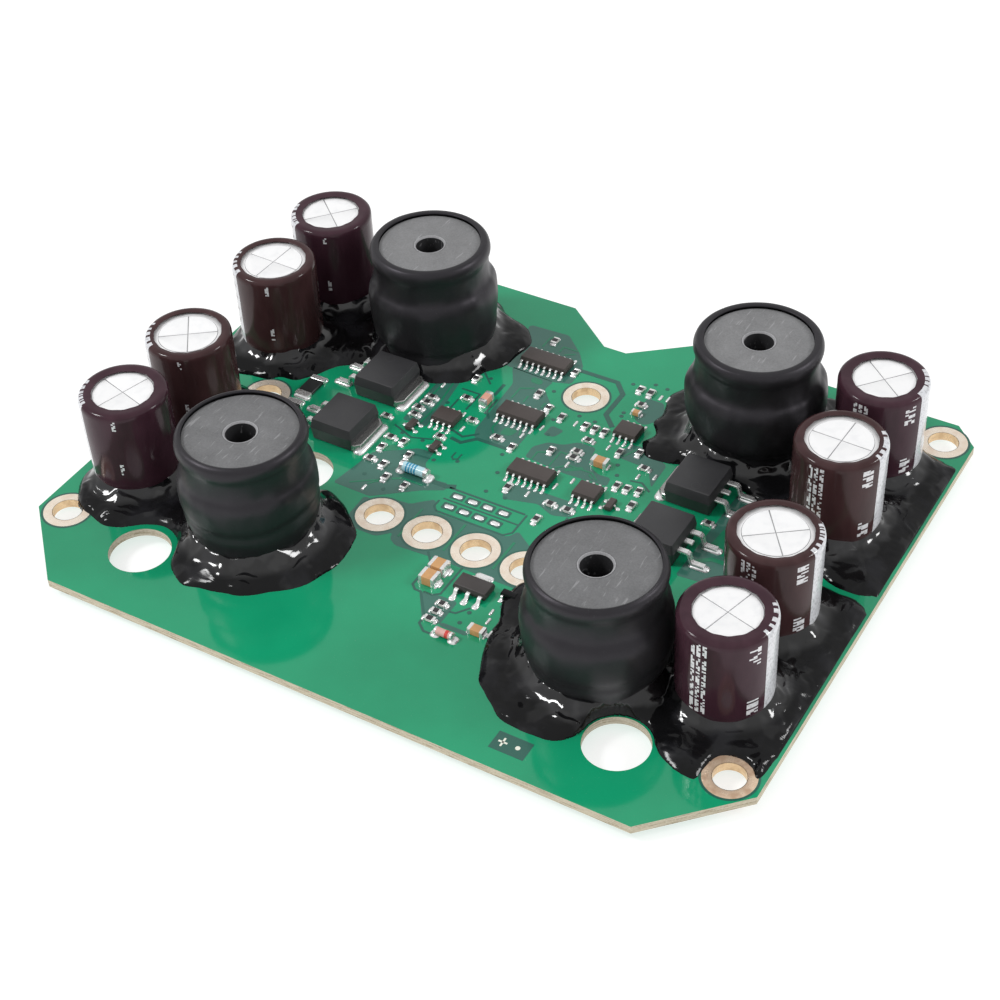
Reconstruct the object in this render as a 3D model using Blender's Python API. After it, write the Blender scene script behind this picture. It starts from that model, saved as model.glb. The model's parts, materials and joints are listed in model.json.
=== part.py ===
"""Power converter board: a green circuit board with four wound chokes, eight can capacitors,
four tab transistors and the small control circuit between them.

Units are millimetres in the named sizes and metres in Blender. X runs along the front edge of
the board, Y towards its notched back edge, Z up. The origin is the middle of the board's outline
at the height of the cut ends of the leads, which is what the assembly stands on.
"""

import math

import bmesh
import bpy
from mathutils import Matrix, Vector

MM = 0.001

# --- Board -----------------------------------------------------------------------------------
BOARD_LENGTH = 142.4
BOARD_DEPTH = 112.0
BOARD_THICKNESS = 1.6
FRONT_CHAMFER = 14.2
BACK_CHAMFER = 4.6
NOTCH_X = -0.5
NOTCH_MOUTH = 27.0
NOTCH_FLOOR = 4.8
NOTCH_DEPTH = 8.6
LEAD_STUB = 1.8  # lead left standing below the board after it is cropped
BOARD_BOTTOM = LEAD_STUB
BOARD_TOP = BOARD_BOTTOM + BOARD_THICKNESS

TERMINAL_BORE = 5.6  # plated holes that take a terminal screw
TERMINAL_PITCH = 10.0
TERMINAL_ROW_Y = -14.7
SCREW_INSET_SIDE = 5.4
SCREW_INSET_FRONT = 15.9
SCREW_INSET_BACK = 5.8
CENTRE_TERMINAL = (1.6, 31.8)
SIDE_TERMINAL_INSET = 17.9
SIDE_TERMINAL_Y = 4.4
CLEARANCE_BORE = 11.2  # plain holes
FRONT_CLEARANCE_GAP = (2.8, 1.7)  # from the outer and the front side of the left front choke
INNER_CLEARANCE_GAP = 4.7  # from the back side of that choke
INNER_CLEARANCE_SHIFT = 10.5  # inwards from its outer side

# --- Clearances ------------------------------------------------------------------------------
SEAT_GAP = 0.3  # between a piece and what it is soldered, glued or slipped onto
LEAD_HOLE_GAP = 0.3  # around a lead
POTTING_GAP = 0.4  # around a piece in the potting
HOLE_MARGIN = 0.6  # around a hole that the potting keeps clear of

# --- Capacitors ------------------------------------------------------------------------------
CAPACITOR_DIAMETER = 16.1
CAPACITOR_HEIGHT = 19.7
CAPACITOR_SPACING = 3.1  # between the two cans of a bank
FRONT_BANK_Y = -16.0
BACK_BANK_Y = 29.4
LEFT_COLUMN_GAP = 2.9  # from the edge of the board to the cans
RIGHT_COLUMN_GAP = 6.1
CAN_EDGE = 0.9
CAN_WALL = 0.5
CAN_BEAD_DEPTH = 0.7
CAN_BEAD_HEIGHT = 1.8
CAN_BEAD_Z = 2.6
SLEEVE_WALL = 0.25
SLEEVE_GAP = 0.3
WIDE_RIM = 2.45  # how far the sleeve covers the top of the can
NARROW_RIM = 1.8
BUNG_HEIGHT = 3.4
CAPACITOR_LEAD = 0.8
CAPACITOR_LEAD_PITCH = 7.5
# name, side of the board, bank, place in the bank, how far it was set off its place, rim
CAPACITORS = (
    ("capacitor_left_1", -1, FRONT_BANK_Y, -1, (-0.1, -0.3), WIDE_RIM),
    ("capacitor_left_2", -1, FRONT_BANK_Y, 1, (-0.3, -0.2), NARROW_RIM),
    ("capacitor_left_3", -1, BACK_BANK_Y, -1, (0.2, 0.0), NARROW_RIM),
    ("capacitor_left_4", -1, BACK_BANK_Y, 1, (0.7, -0.3), WIDE_RIM),
    ("capacitor_right_1", 1, FRONT_BANK_Y, -1, (0.8, 0.0), WIDE_RIM),
    ("capacitor_right_2", 1, FRONT_BANK_Y, 1, (-0.2, 0.6), NARROW_RIM),
    ("capacitor_right_3", 1, BACK_BANK_Y, -1, (0.0, 0.5), NARROW_RIM),
    ("capacitor_right_4", 1, BACK_BANK_Y, 1, (0.0, 0.1), WIDE_RIM),
)

# --- Chokes ----------------------------------------------------------------------------------
CORE_HEIGHT = 22.2
CORE_FLANGE_DIAMETER = 20.4
CORE_FLANGE_HEIGHT = 6.4
CORE_FOOT_HEIGHT = 3.0
CORE_POST_DIAMETER = 9.0
CORE_BORE = 5.4
CORE_EDGE = 0.5
WINDING_DIAMETER = 23.2  # the coil bulges past the core's top flange
WINDING_GAP = 0.3
CHOKE_SLEEVE_WALL = 0.5
CHOKE_SLEEVE_GAP = 0.3
CHOKE_RIM = 0.55  # how far the sleeve shrinks inwards over the edge of the core
CHOKE_LIP = 0.35  # the rolled rim stands out from the neck
CHOKE_LEAD = 1.3
CHOKE_LEAD_INSET = 2.2  # from the side of the coil
LEAD_SLOT_GAP = 0.4
# name, side of the board, front or back, capacitor beside it and the gap to that in X, gap from
# the case of the transistor beside it in Y
CHOKES = (
    ("choke_front_left", -1, -1, "capacitor_left_1", 7.7, 13.1),
    ("choke_back_left", -1, 1, "capacitor_left_4", 5.7, 0.4),
    ("choke_front_right", 1, -1, "capacitor_right_1", 0.65, 13.65),
    ("choke_back_right", 1, 1, "capacitor_right_4", 1.75, 1.1),
)

# --- Transistors -----------------------------------------------------------------------------
CASE_LENGTH = 9.2
CASE_WIDTH = 9.8
CASE_HEIGHT = 4.4
CASE_DRAFT = 0.35
TAB_THICKNESS = 1.3
TAB_PROUD = 1.4
TAB_WIDTH = 9.6
TAB_CORNER = 1.2
LEAD_PITCH = 2.54
LEAD_WIDTH = 1.2
LEAD_THICKNESS = 0.5
LEAD_EXIT_Z = 2.5
LEAD_REACH = 5.2
LEAD_SHOULDER = 1.9
STOPPED_LEAD = 1.6  # the middle lead is cropped close to the case
FRAME_BAR = 1.0  # inside the case, the stamped frame joins the leads to the tab
LEFT_LEADS_GAP = 8.9  # from the capacitors to the ends of the leads
RIGHT_LEADS_GAP = 6.6
TRANSISTOR_GAP = 4.8  # between the two cases on a side
TRANSISTORS_Y = 9.4
# name, side of the board that the leads point to, front or back
TRANSISTORS = (
    ("transistor_left_front", -1, -1),
    ("transistor_left_back", -1, 1),
    ("transistor_right_front", 1, -1),
    ("transistor_right_back", 1, 1),
)

# --- Control circuit -------------------------------------------------------------------------
CHIP_WIDTH = 3.9
CHIP_HEIGHT = 1.5
CHIP_LIFT = 0.3
CHIP_DRAFT = 0.2
CHIP_LEAD_PITCH = 1.27
CHIP_END = 0.2  # how much shorter the case is than its row of leads
BACK_DRIVER_GAP = 11.0  # from the side of the left back choke to the middle of the chip
BACK_DRIVER_SHIFT = 2.9  # backwards from that choke's middle
BACK_DRIVER_LEADS = 8
# name, X, Y, leads on each side
CONTROL_CHIPS = (
    ("driver_chip_middle", -6.4, 20.8, 7),
    ("driver_chip_front", 3.8, 7.1, 7),
    ("sense_chip_front", 15.4, 7.1, 4),
    ("sense_chip_back", 13.9, 25.6, 4),
    ("sense_chip_left", -18.3, 13.6, 4),
)
REGULATOR_PLACE = (9.9, -23.4)
REGULATOR_SIZE = (6.5, 3.5, 1.5)
FILTER_PLACE = (2.1, -21.95)
FILTER_SIZE = (3.0, 2.6, 1.9)
SHUNT_GAP = 3.5  # from the ends of the left transistors' leads to the middle of the shunt
SHUNT_Y = 9.9
SHUNT_SIZE = (3.2, 6.3, 0.7)
ROUND_RESISTOR_PLACE = (-15.3, -2.4)
ROUND_RESISTOR_LENGTH = 5.8
ROUND_RESISTOR_DIAMETER = 2.2
END_CAP_LENGTH = 1.1
END_CAP_STEP = 0.1
CERAMIC_EDGE = 0.12

# --- Potting ---------------------------------------------------------------------------------
POTTING_HEIGHT = 3.0
POTTING_EDGE = 0.7
CAPACITOR_COLLAR = 2.3  # how far the potting spreads around a capacitor
# How far the pool around a choke spreads past it, and how far its middle lies from the choke's.
FRONT_LEFT_POOL = (3.8, (2.0, -1.2))
BACK_LEFT_POOL = (2.4, (2.9, 2.6))
FRONT_RIGHT_POOL = (3.2, (-5.9, -1.2))
BACK_RIGHT_POOL = (2.6, (-1.9, 3.1))
# name, choke that it holds and its pool, capacitors that it holds
POTTINGS = (
    ("potting_front_left", "choke_front_left", FRONT_LEFT_POOL, ("capacitor_left_1", "capacitor_left_2")),
    ("potting_back_left", "choke_back_left", BACK_LEFT_POOL, ("capacitor_left_4",)),
    ("potting_front_middle", "choke_front_right", FRONT_RIGHT_POOL, ()),
    ("potting_front_right", None, None, ("capacitor_right_1", "capacitor_right_2")),
    ("potting_back_right", "choke_back_right", BACK_RIGHT_POOL, ("capacitor_right_4",)),
)

# --- Facets of round shapes --------------------------------------------------------------------
ROUND_STEPS = 16
CHOKE_STEPS = 20
HOLE_STEPS = 16
LEAD_STEPS = 8


# --- Helpers ---------------------------------------------------------------------------------
def material(name, colour, roughness, metallic=0.0):
    """A plain Principled finish."""
    found = bpy.data.materials.new(name)
    found.use_nodes = True
    shader = found.node_tree.nodes["Principled BSDF"]
    shader.inputs["Base Color"].default_value = (*colour, 1.0)
    shader.inputs["Roughness"].default_value = roughness
    shader.inputs["Metallic"].default_value = metallic
    found.diffuse_color = (*colour, 1.0)
    return found


def add_object(name, mesh, finish, parent=None):
    """Link a mesh as a named object."""
    piece = bpy.data.objects.new(name, mesh)
    bpy.context.scene.collection.objects.link(piece)
    piece.parent = parent
    if finish is not None:
        mesh.materials.append(finish)
    return piece


def seat_at(name, place, turn=0.0):
    """The seat of a component on top of the board, turned about Z in degrees."""
    seat = bpy.data.objects.new(name, None)
    bpy.context.scene.collection.objects.link(seat)
    seat.location = Vector((*place, BOARD_TOP)) * MM
    seat.rotation_euler.z = math.radians(turn)
    return seat


def shape_with(piece, name, mesh, operation="DIFFERENCE"):
    """Cut a helper mesh out of a piece, or join it on. The helper sits under the piece's parent."""
    helper = add_object(name, mesh, None, piece.parent)
    helper.hide_render = True
    helper.display_type = "WIRE"
    modifier = piece.modifiers.new(name, "BOOLEAN")
    modifier.object = helper
    modifier.operation = operation
    modifier.solver = "EXACT"


def finished(shape, name, smooth=False):
    """Turn a bmesh in millimetres into a mesh in metres with its faces pointing out."""
    bmesh.ops.scale(shape, vec=(MM, MM, MM), verts=shape.verts)
    bmesh.ops.recalc_face_normals(shape, faces=shape.faces)
    mesh = bpy.data.meshes.new(name)
    shape.to_mesh(mesh)
    shape.free()
    if smooth:
        mesh.shade_smooth()
        mesh.set_sharp_from_angle(angle=math.radians(35))
    return mesh


def turned(name, profile, steps):
    """A solid turned about Z from a closed loop of (radius, height) points."""
    shape = bmesh.new()
    rings = []
    for radius, height in profile:
        count = steps if radius > 0.0 else 1
        turns = [2 * math.pi * step / steps for step in range(count)]
        points = [(radius * math.cos(turn), radius * math.sin(turn), height) for turn in turns]
        rings.append([shape.verts.new(point) for point in points])
    for first, second in zip(rings, rings[1:] + rings[:1]):
        if len(first) == 1 and len(second) == 1:
            continue
        for step in range(steps):
            after = (step + 1) % steps
            corners = [first[step % len(first)], first[after % len(first)]]
            corners += [second[after % len(second)], second[step % len(second)]]
            shape.faces.new(list(dict.fromkeys(corners)))
    return finished(shape, name, smooth=True)


def prism(name, outline, low, high):
    """An upright prism on a flat outline."""
    shape = bmesh.new()
    face = shape.faces.new([shape.verts.new((x, y, low)) for x, y in outline])
    raised = bmesh.ops.extrude_face_region(shape, geom=[face])["geom"]
    tops = [item for item in raised if isinstance(item, bmesh.types.BMVert)]
    bmesh.ops.translate(shape, vec=(0.0, 0.0, high - low), verts=tops)
    return finished(shape, name)


def posts(name, places, radius, low, high, steps):
    """Separate upright cylinders in one mesh."""
    shape = bmesh.new()
    for x, y in places:
        bmesh.ops.create_cone(
            shape, cap_ends=True, segments=steps, radius1=radius, radius2=radius,
            depth=high - low, matrix=Matrix.Translation((x, y, (low + high) / 2)),
        )
    return finished(shape, name)


def blocks(name, spans):
    """Separate upright boxes in one mesh, each from its low corner to its high corner."""
    shape = bmesh.new()
    for low, high in spans:
        low, high = Vector(low), Vector(high)
        size = Matrix.Diagonal((*(high - low), 1.0))
        bmesh.ops.create_cube(shape, size=1.0, matrix=Matrix.Translation((low + high) / 2) @ size)
    return finished(shape, name)


def moulded(name, length, width, low, waist, high, draft):
    """A moulded case, widest at its parting line."""
    shape = bmesh.new()
    rings = []
    for height, inset in ((low, draft), (waist, 0.0), (high, draft)):
        half_x, half_y = length / 2 - inset, width / 2 - inset
        corners = ((-half_x, -half_y), (half_x, -half_y), (half_x, half_y), (-half_x, half_y))
        rings.append([shape.verts.new((x, y, height)) for x, y in corners])
    shape.faces.new(rings[0])
    shape.faces.new(rings[-1])
    for lower, upper in zip(rings, rings[1:]):
        for side in range(4):
            after = (side + 1) % 4
            shape.faces.new((lower[side], lower[after], upper[after], upper[side]))
    return finished(shape, name)


def chamfered_block(name, size, lift, edge):
    """A block that stands on the board, with its edges rounded off."""
    length, width, height = size
    shape = bmesh.new()
    matrix = Matrix.Translation((0.0, 0.0, lift + height / 2)) @ Matrix.Diagonal((length, width, height, 1.0))
    bmesh.ops.create_cube(shape, size=1.0, matrix=matrix)
    bmesh.ops.bevel(shape, geom=shape.edges[:], offset=edge, segments=1, affect="EDGES")
    return finished(shape, name)


def bent_strips(name, path, thickness, rows, width):
    """Flat strips that follow a path in X and Z, one centred on each row in Y."""
    shape = bmesh.new()
    points = [Vector(point) for point in path]
    for row in rows:
        sections = []
        for index, here in enumerate(points):
            before = (here - points[index - 1]).normalized() if index else None
            after = (points[index + 1] - here).normalized() if index < len(points) - 1 else None
            along = ((before or after) + (after or before)).normalized()
            stretch = along.dot(before or after)
            half = Vector((-along.y, along.x)) * (thickness / 2 / stretch)
            upper, lower = here + half, here - half
            near, far = row - width / 2, row + width / 2
            corners = ((upper.x, near, upper.y), (lower.x, near, lower.y))
            corners += ((lower.x, far, lower.y), (upper.x, far, upper.y))
            sections.append([shape.verts.new(corner) for corner in corners])
        shape.faces.new(sections[0])
        shape.faces.new(sections[-1])
        for first, second in zip(sections, sections[1:]):
            for corner in range(4):
                after = (corner + 1) % 4
                shape.faces.new((first[corner], first[after], second[after], second[corner]))
    return finished(shape, name)


# --- Places that several pieces share ----------------------------------------------------------
def on_both_sides(place):
    """The same place on the left and on the right of the board."""
    x, y = place
    return [(-x, y), (x, y)]


def capacitor_x(side):
    """The middle of a column of capacitors."""
    gap = LEFT_COLUMN_GAP if side < 0 else RIGHT_COLUMN_GAP
    return side * (BOARD_LENGTH / 2 - gap - CAPACITOR_DIAMETER / 2)


def capacitor_places():
    """The place of each capacitor, by name."""
    pitch = CAPACITOR_DIAMETER + CAPACITOR_SPACING
    places = {}
    for name, side, bank, step, shift, _ in CAPACITORS:
        places[name] = (capacitor_x(side) + shift[0], bank + step * pitch / 2 + shift[1])
    return places


def transistor_place(side, row):
    """The middle of a transistor's case. Its leads end at a set gap from the capacitors."""
    gap = LEFT_LEADS_GAP if side < 0 else RIGHT_LEADS_GAP
    inwards = CAPACITOR_DIAMETER / 2 + gap + LEAD_REACH + CASE_LENGTH / 2
    return (capacitor_x(side) - side * inwards, TRANSISTORS_Y + row * (CASE_WIDTH + TRANSISTOR_GAP) / 2)


def choke_radius():
    """The outside of a choke's sleeve around the coil."""
    return WINDING_DIAMETER / 2 + CHOKE_SLEEVE_GAP + CHOKE_SLEEVE_WALL


def choke_lead_y():
    """How far a choke's leads stand from its middle, to the front and to the back."""
    return WINDING_DIAMETER / 2 - CHOKE_LEAD_INSET


def choke_places():
    """The place of each choke, by name, set off from the capacitor and the transistor beside it."""
    places = {}
    capacitors = capacitor_places()
    for name, side, row, capacitor, gap, case_gap in CHOKES:
        x = capacitors[capacitor][0] - side * (CAPACITOR_DIAMETER / 2 + gap + choke_radius())
        y = transistor_place(side, row)[1] + row * (CASE_WIDTH / 2 + case_gap + choke_radius())
        places[name] = (x, y)
    return places


def terminal_places():
    """Every plated screw hole: the corners, the row of four, the middle one and the two side ones."""
    corner_x = BOARD_LENGTH / 2 - SCREW_INSET_SIDE
    corners = on_both_sides((corner_x, SCREW_INSET_FRONT - BOARD_DEPTH / 2))
    corners += on_both_sides((corner_x, BOARD_DEPTH / 2 - SCREW_INSET_BACK))
    row = [((index - 1.5) * TERMINAL_PITCH, TERMINAL_ROW_Y) for index in range(4)]
    sides = on_both_sides((BOARD_LENGTH / 2 - SIDE_TERMINAL_INSET, SIDE_TERMINAL_Y))
    return corners + row + [CENTRE_TERMINAL] + sides


def clearance_places():
    """Every plain hole: two beside the left front choke, and their likes on the right."""
    x, y = choke_places()["choke_front_left"]
    radius = choke_radius()
    front = (x - radius - FRONT_CLEARANCE_GAP[0], y - radius - FRONT_CLEARANCE_GAP[1])
    inner = (x - radius + INNER_CLEARANCE_SHIFT, y + radius + INNER_CLEARANCE_GAP)
    return on_both_sides(front) + on_both_sides(inner)


def chip_places():
    """The name, X, Y and leads of each chip. The back driver stands beside the left back choke."""
    x, y = choke_places()["choke_back_left"]
    place = (x + choke_radius() + BACK_DRIVER_GAP, y + BACK_DRIVER_SHIFT)
    return (("driver_chip_back", *place, BACK_DRIVER_LEADS), *CONTROL_CHIPS)


def lead_pairs(places, reach):
    """Two leads for each place, one to the front and one to the back."""
    return [(x, y + side * reach) for x, y in places for side in (-1, 1)]


def board_outline():
    """The outline from the front left corner, with chamfers and the notch at the back."""
    half_x, half_y = BOARD_LENGTH / 2, BOARD_DEPTH / 2
    mouth, floor = NOTCH_MOUTH / 2, NOTCH_FLOOR / 2
    right = [
        (half_x - FRONT_CHAMFER, -half_y),
        (half_x, -half_y + FRONT_CHAMFER),
        (half_x, half_y - BACK_CHAMFER),
        (half_x - BACK_CHAMFER, half_y),
    ]
    notch = [
        (NOTCH_X + mouth, half_y),
        (NOTCH_X + floor, half_y - NOTCH_DEPTH),
        (NOTCH_X - floor, half_y - NOTCH_DEPTH),
        (NOTCH_X - mouth, half_y),
    ]
    left = [(-x, y) for x, y in reversed(right)]
    return right + notch + left


# --- Pieces ----------------------------------------------------------------------------------
def make_board(finish):
    """The bare board with its screw holes, plain holes and lead holes."""
    board = add_object("circuit_board", prism("circuit_board", board_outline(), BOARD_BOTTOM, BOARD_TOP), finish)
    low, high = BOARD_BOTTOM - BOARD_THICKNESS, BOARD_TOP + BOARD_THICKNESS
    capacitor_leads = lead_pairs(capacitor_places().values(), CAPACITOR_LEAD_PITCH / 2)
    choke_leads = lead_pairs(choke_places().values(), choke_lead_y())
    drills = (
        ("terminal_drill", terminal_places(), TERMINAL_BORE / 2, HOLE_STEPS),
        ("clearance_drill", clearance_places(), CLEARANCE_BORE / 2, ROUND_STEPS),
        ("capacitor_drill", capacitor_leads, CAPACITOR_LEAD / 2 + LEAD_HOLE_GAP, LEAD_STEPS),
        ("choke_drill", choke_leads, CHOKE_LEAD / 2 + LEAD_HOLE_GAP, LEAD_STEPS),
    )
    for name, places, radius, steps in drills:
        shape_with(board, name, posts(name, places, radius, low, high, steps))


def make_capacitor(name, place, rim, finishes):
    """A radial capacitor: aluminium can with a crimped bead, rubber bung with its leads, sleeve."""
    seat = seat_at(name + "_seat", place)
    wide, high, base = CAPACITOR_DIAMETER / 2, CAPACITOR_HEIGHT, SEAT_GAP
    outer = wide - SLEEVE_WALL - SLEEVE_GAP
    inner = outer - CAN_WALL
    top = high - SLEEVE_WALL - SLEEVE_GAP
    bead_low, bead_high = CAN_BEAD_Z - CAN_BEAD_HEIGHT / 2, CAN_BEAD_Z + CAN_BEAD_HEIGHT / 2
    bung_top = base + BUNG_HEIGHT
    throat = inner - CAN_BEAD_DEPTH
    can = [
        (0.0, top),
        (outer - CAN_EDGE, top),
        (outer, top - CAN_EDGE),
        (outer, bead_high),
        (outer - CAN_BEAD_DEPTH, CAN_BEAD_Z),
        (outer, bead_low),
        (outer, base),
        (inner, base),
        (inner, bead_low),
        (throat, CAN_BEAD_Z),
        (throat, bung_top + SEAT_GAP),
        (0.0, bung_top + SEAT_GAP),
    ]
    add_object(name + "_can", turned(name + "_can", can, ROUND_STEPS), finishes["can"], seat)

    bung = [
        (0.0, bung_top),
        (throat - SEAT_GAP, bung_top),
        (throat - SEAT_GAP, CAN_BEAD_Z),
        (inner - SEAT_GAP, bead_low - SEAT_GAP),
        (inner - SEAT_GAP, base),
        (0.0, base),
    ]
    header = add_object(name + "_header", turned(name + "_header", bung, ROUND_STEPS), finishes["rubber"], seat)
    leads = lead_pairs([(0.0, 0.0)], CAPACITOR_LEAD_PITCH / 2)
    pins = posts(name + "_leads", leads, CAPACITOR_LEAD / 2, -BOARD_TOP, base + BUNG_HEIGHT / 2, LEAD_STEPS)
    shape_with(header, name + "_leads", pins, "UNION")

    hole, under = wide - rim, high - SLEEVE_WALL
    sleeve = [
        (hole, high),
        (wide - CAN_EDGE, high),
        (wide, high - CAN_EDGE),
        (wide, base),
        (wide - SLEEVE_WALL, base),
        (wide - SLEEVE_WALL, under - CAN_EDGE),
        (wide - SLEEVE_WALL - CAN_EDGE, under),
        (hole, under),
    ]
    add_object(name + "_sleeve", turned(name + "_sleeve", sleeve, ROUND_STEPS), finishes["sleeve"], seat)


def make_choke(name, place, finishes):
    """A drum-core choke: ferrite core, copper coil with its leads, heat-shrink sleeve."""
    seat = seat_at(name + "_seat", place)
    flange, post, bore = CORE_FLANGE_DIAMETER / 2, CORE_POST_DIAMETER / 2, CORE_BORE / 2
    coil_radius = WINDING_DIAMETER / 2
    base, top = SEAT_GAP, SEAT_GAP + CORE_HEIGHT
    window_low, window_high = base + CORE_FOOT_HEIGHT, top - CORE_FLANGE_HEIGHT
    core = [
        (bore + CORE_EDGE, top),
        (flange - CORE_EDGE, top),
        (flange, top - CORE_EDGE),
        (flange, window_high),
        (post, window_high),
        (post, window_low),
        (coil_radius, window_low),
        (coil_radius, base),
        (bore, base),
        (bore, top - CORE_EDGE),
    ]
    drum = add_object(name + "_core", turned(name + "_core", core, CHOKE_STEPS), finishes["ferrite"], seat)
    slot = CHOKE_LEAD / 2 + LEAD_SLOT_GAP
    near, far = choke_lead_y() - slot, coil_radius + CORE_EDGE
    slot_low, slot_high = base - CORE_EDGE, window_low + CORE_EDGE
    slots = [
        ((-slot, near, slot_low), (slot, far, slot_high)),
        ((-slot, -far, slot_low), (slot, -near, slot_high)),
    ]
    shape_with(drum, name + "_slots", blocks(name + "_slots", slots))

    inner, low, high = post + WINDING_GAP, window_low + WINDING_GAP, window_high - WINDING_GAP
    coil = [
        (inner, high),
        (coil_radius - CORE_EDGE, high),
        (coil_radius, high - CORE_EDGE),
        (coil_radius, low + CORE_EDGE),
        (coil_radius - CORE_EDGE, low),
        (inner, low),
    ]
    winding = add_object(name + "_winding", turned(name + "_winding", coil, CHOKE_STEPS), finishes["copper"], seat)
    leads = lead_pairs([(0.0, 0.0)], choke_lead_y())
    pins = posts(name + "_leads", leads, CHOKE_LEAD / 2, -BOARD_TOP, (low + high) / 2, LEAD_STEPS)
    shape_with(winding, name + "_leads", pins, "UNION")

    gap, wall = CHOKE_SLEEVE_GAP, CHOKE_SLEEVE_WALL
    body_in, neck_in = coil_radius + gap, flange + gap
    body_out, neck_out = body_in + wall, neck_in + wall
    lid, crown = top + gap, top + gap + wall
    shoulder = window_high + gap
    step = body_in - neck_in
    sleeve = [
        (flange - CHOKE_RIM, crown),
        (neck_out, crown),
        (neck_out + CHOKE_LIP, crown - wall),
        (neck_out + CHOKE_LIP, crown - 3 * wall),
        (neck_out, shoulder + step + wall),
        (body_out, shoulder + wall / 2),
        (body_out, base),
        (body_in, base),
        (body_in, shoulder),
        (neck_in, shoulder + step),
        (neck_in, lid),
        (flange - CHOKE_RIM, lid),
    ]
    add_object(name + "_sleeve", turned(name + "_sleeve", sleeve, CHOKE_STEPS), finishes["heat_shrink"], seat)


def make_transistor(name, place, side, finishes):
    """A surface-mount power transistor: a moulded case over a stamped tab with three leads."""
    seat = seat_at(name + "_seat", place, turn=0.0 if side > 0 else 180.0)
    half, bottom = CASE_LENGTH / 2, SEAT_GAP
    start = half - CASE_DRAFT - LEAD_SHOULDER
    rows = (-LEAD_PITCH, 0.0, LEAD_PITCH)
    block_y = LEAD_PITCH + LEAD_WIDTH / 2
    bar_top = LEAD_EXIT_Z + LEAD_THICKNESS / 2
    case_low = bottom + TAB_THICKNESS + SEAT_GAP
    case = moulded(
        name + "_case", CASE_LENGTH, CASE_WIDTH, case_low, LEAD_EXIT_Z, bottom + CASE_HEIGHT, CASE_DRAFT
    )
    body = add_object(name + "_case", case, finishes["moulding"], seat)
    pocket = [(
        (start - FRAME_BAR / 2 - SEAT_GAP, -block_y - SEAT_GAP, bottom),
        (half + LEAD_SHOULDER, block_y + SEAT_GAP, bar_top + SEAT_GAP),
    )]
    shape_with(body, name + "_pocket", blocks(name + "_pocket", pocket))

    back, wide, nip = -half - TAB_PROUD, TAB_WIDTH / 2, TAB_CORNER
    front = half - CASE_DRAFT - nip
    outline = [
        (back + nip, -wide), (front, -wide), (front, wide), (back + nip, wide),
        (back, wide - nip), (back, -wide + nip),
    ]
    tab = prism(name + "_tab", outline, bottom, bottom + TAB_THICKNESS)
    tab_piece = add_object(name + "_tab", tab, finishes["tinned"], seat)
    bar = [(
        (start - FRAME_BAR / 2, -block_y, bottom + TAB_THICKNESS / 2),
        (start + FRAME_BAR / 2, block_y, bar_top),
    )]
    shape_with(tab_piece, name + "_bar", blocks(name + "_bar", bar), "UNION")
    foot_z = bottom + LEAD_THICKNESS / 2
    bend = half + LEAD_SHOULDER
    path = (
        (start, LEAD_EXIT_Z),
        (bend, LEAD_EXIT_Z),
        (bend + LEAD_THICKNESS, foot_z),
        (half + LEAD_REACH, foot_z),
    )
    long_leads = bent_strips(name + "_leads", path, LEAD_THICKNESS, (rows[0], rows[2]), LEAD_WIDTH)
    shape_with(tab_piece, name + "_leads", long_leads, "UNION")
    stub_path = ((start, LEAD_EXIT_Z), (half + STOPPED_LEAD, LEAD_EXIT_Z))
    stub = bent_strips(name + "_stub", stub_path, LEAD_THICKNESS, rows[1:2], LEAD_WIDTH)
    shape_with(tab_piece, name + "_stub", stub, "UNION")


def make_control_circuit(finishes):
    """The larger parts of the control circuit: chips, regulator, filter capacitor, resistors."""
    lift = CHIP_LIFT
    for name, x, y, leads in chip_places():
        length = leads * CHIP_LEAD_PITCH - CHIP_END
        case = moulded(name, length, CHIP_WIDTH, lift, lift + CHIP_HEIGHT / 2, lift + CHIP_HEIGHT, CHIP_DRAFT)
        add_object(name, case, finishes["moulding"], seat_at(name + "_seat", (x, y)))

    length, width, height = REGULATOR_SIZE
    case = moulded("regulator", length, width, lift, lift + height / 2, lift + height, CHIP_DRAFT)
    add_object("regulator", case, finishes["moulding"], seat_at("regulator_seat", REGULATOR_PLACE))

    shunt_x = transistor_place(-1, 1)[0] - CASE_LENGTH / 2 - LEAD_REACH - SHUNT_GAP
    for name, size, place, finish in (
        ("filter_capacitor", FILTER_SIZE, FILTER_PLACE, "ceramic"),
        ("current_shunt", SHUNT_SIZE, (shunt_x, SHUNT_Y), "moulding"),
    ):
        block = chamfered_block(name, size, SEAT_GAP, CERAMIC_EDGE)
        add_object(name, block, finishes[finish], seat_at(name + "_seat", place))

    half, radius = ROUND_RESISTOR_LENGTH / 2, ROUND_RESISTOR_DIAMETER / 2
    waist = radius - END_CAP_STEP
    barrel = [
        (0.0, half),
        (radius, half),
        (radius, half - END_CAP_LENGTH),
        (waist, half - END_CAP_LENGTH),
        (waist, END_CAP_LENGTH - half),
        (radius, END_CAP_LENGTH - half),
        (radius, -half),
        (0.0, -half),
    ]
    seat = seat_at("round_resistor_seat", ROUND_RESISTOR_PLACE)
    resistor = add_object("round_resistor", turned("round_resistor", barrel, ROUND_STEPS // 2), finishes["ceramic"], seat)
    resistor.rotation_euler.y = math.radians(90)
    resistor.location.z = (SEAT_GAP + radius) * MM


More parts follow.
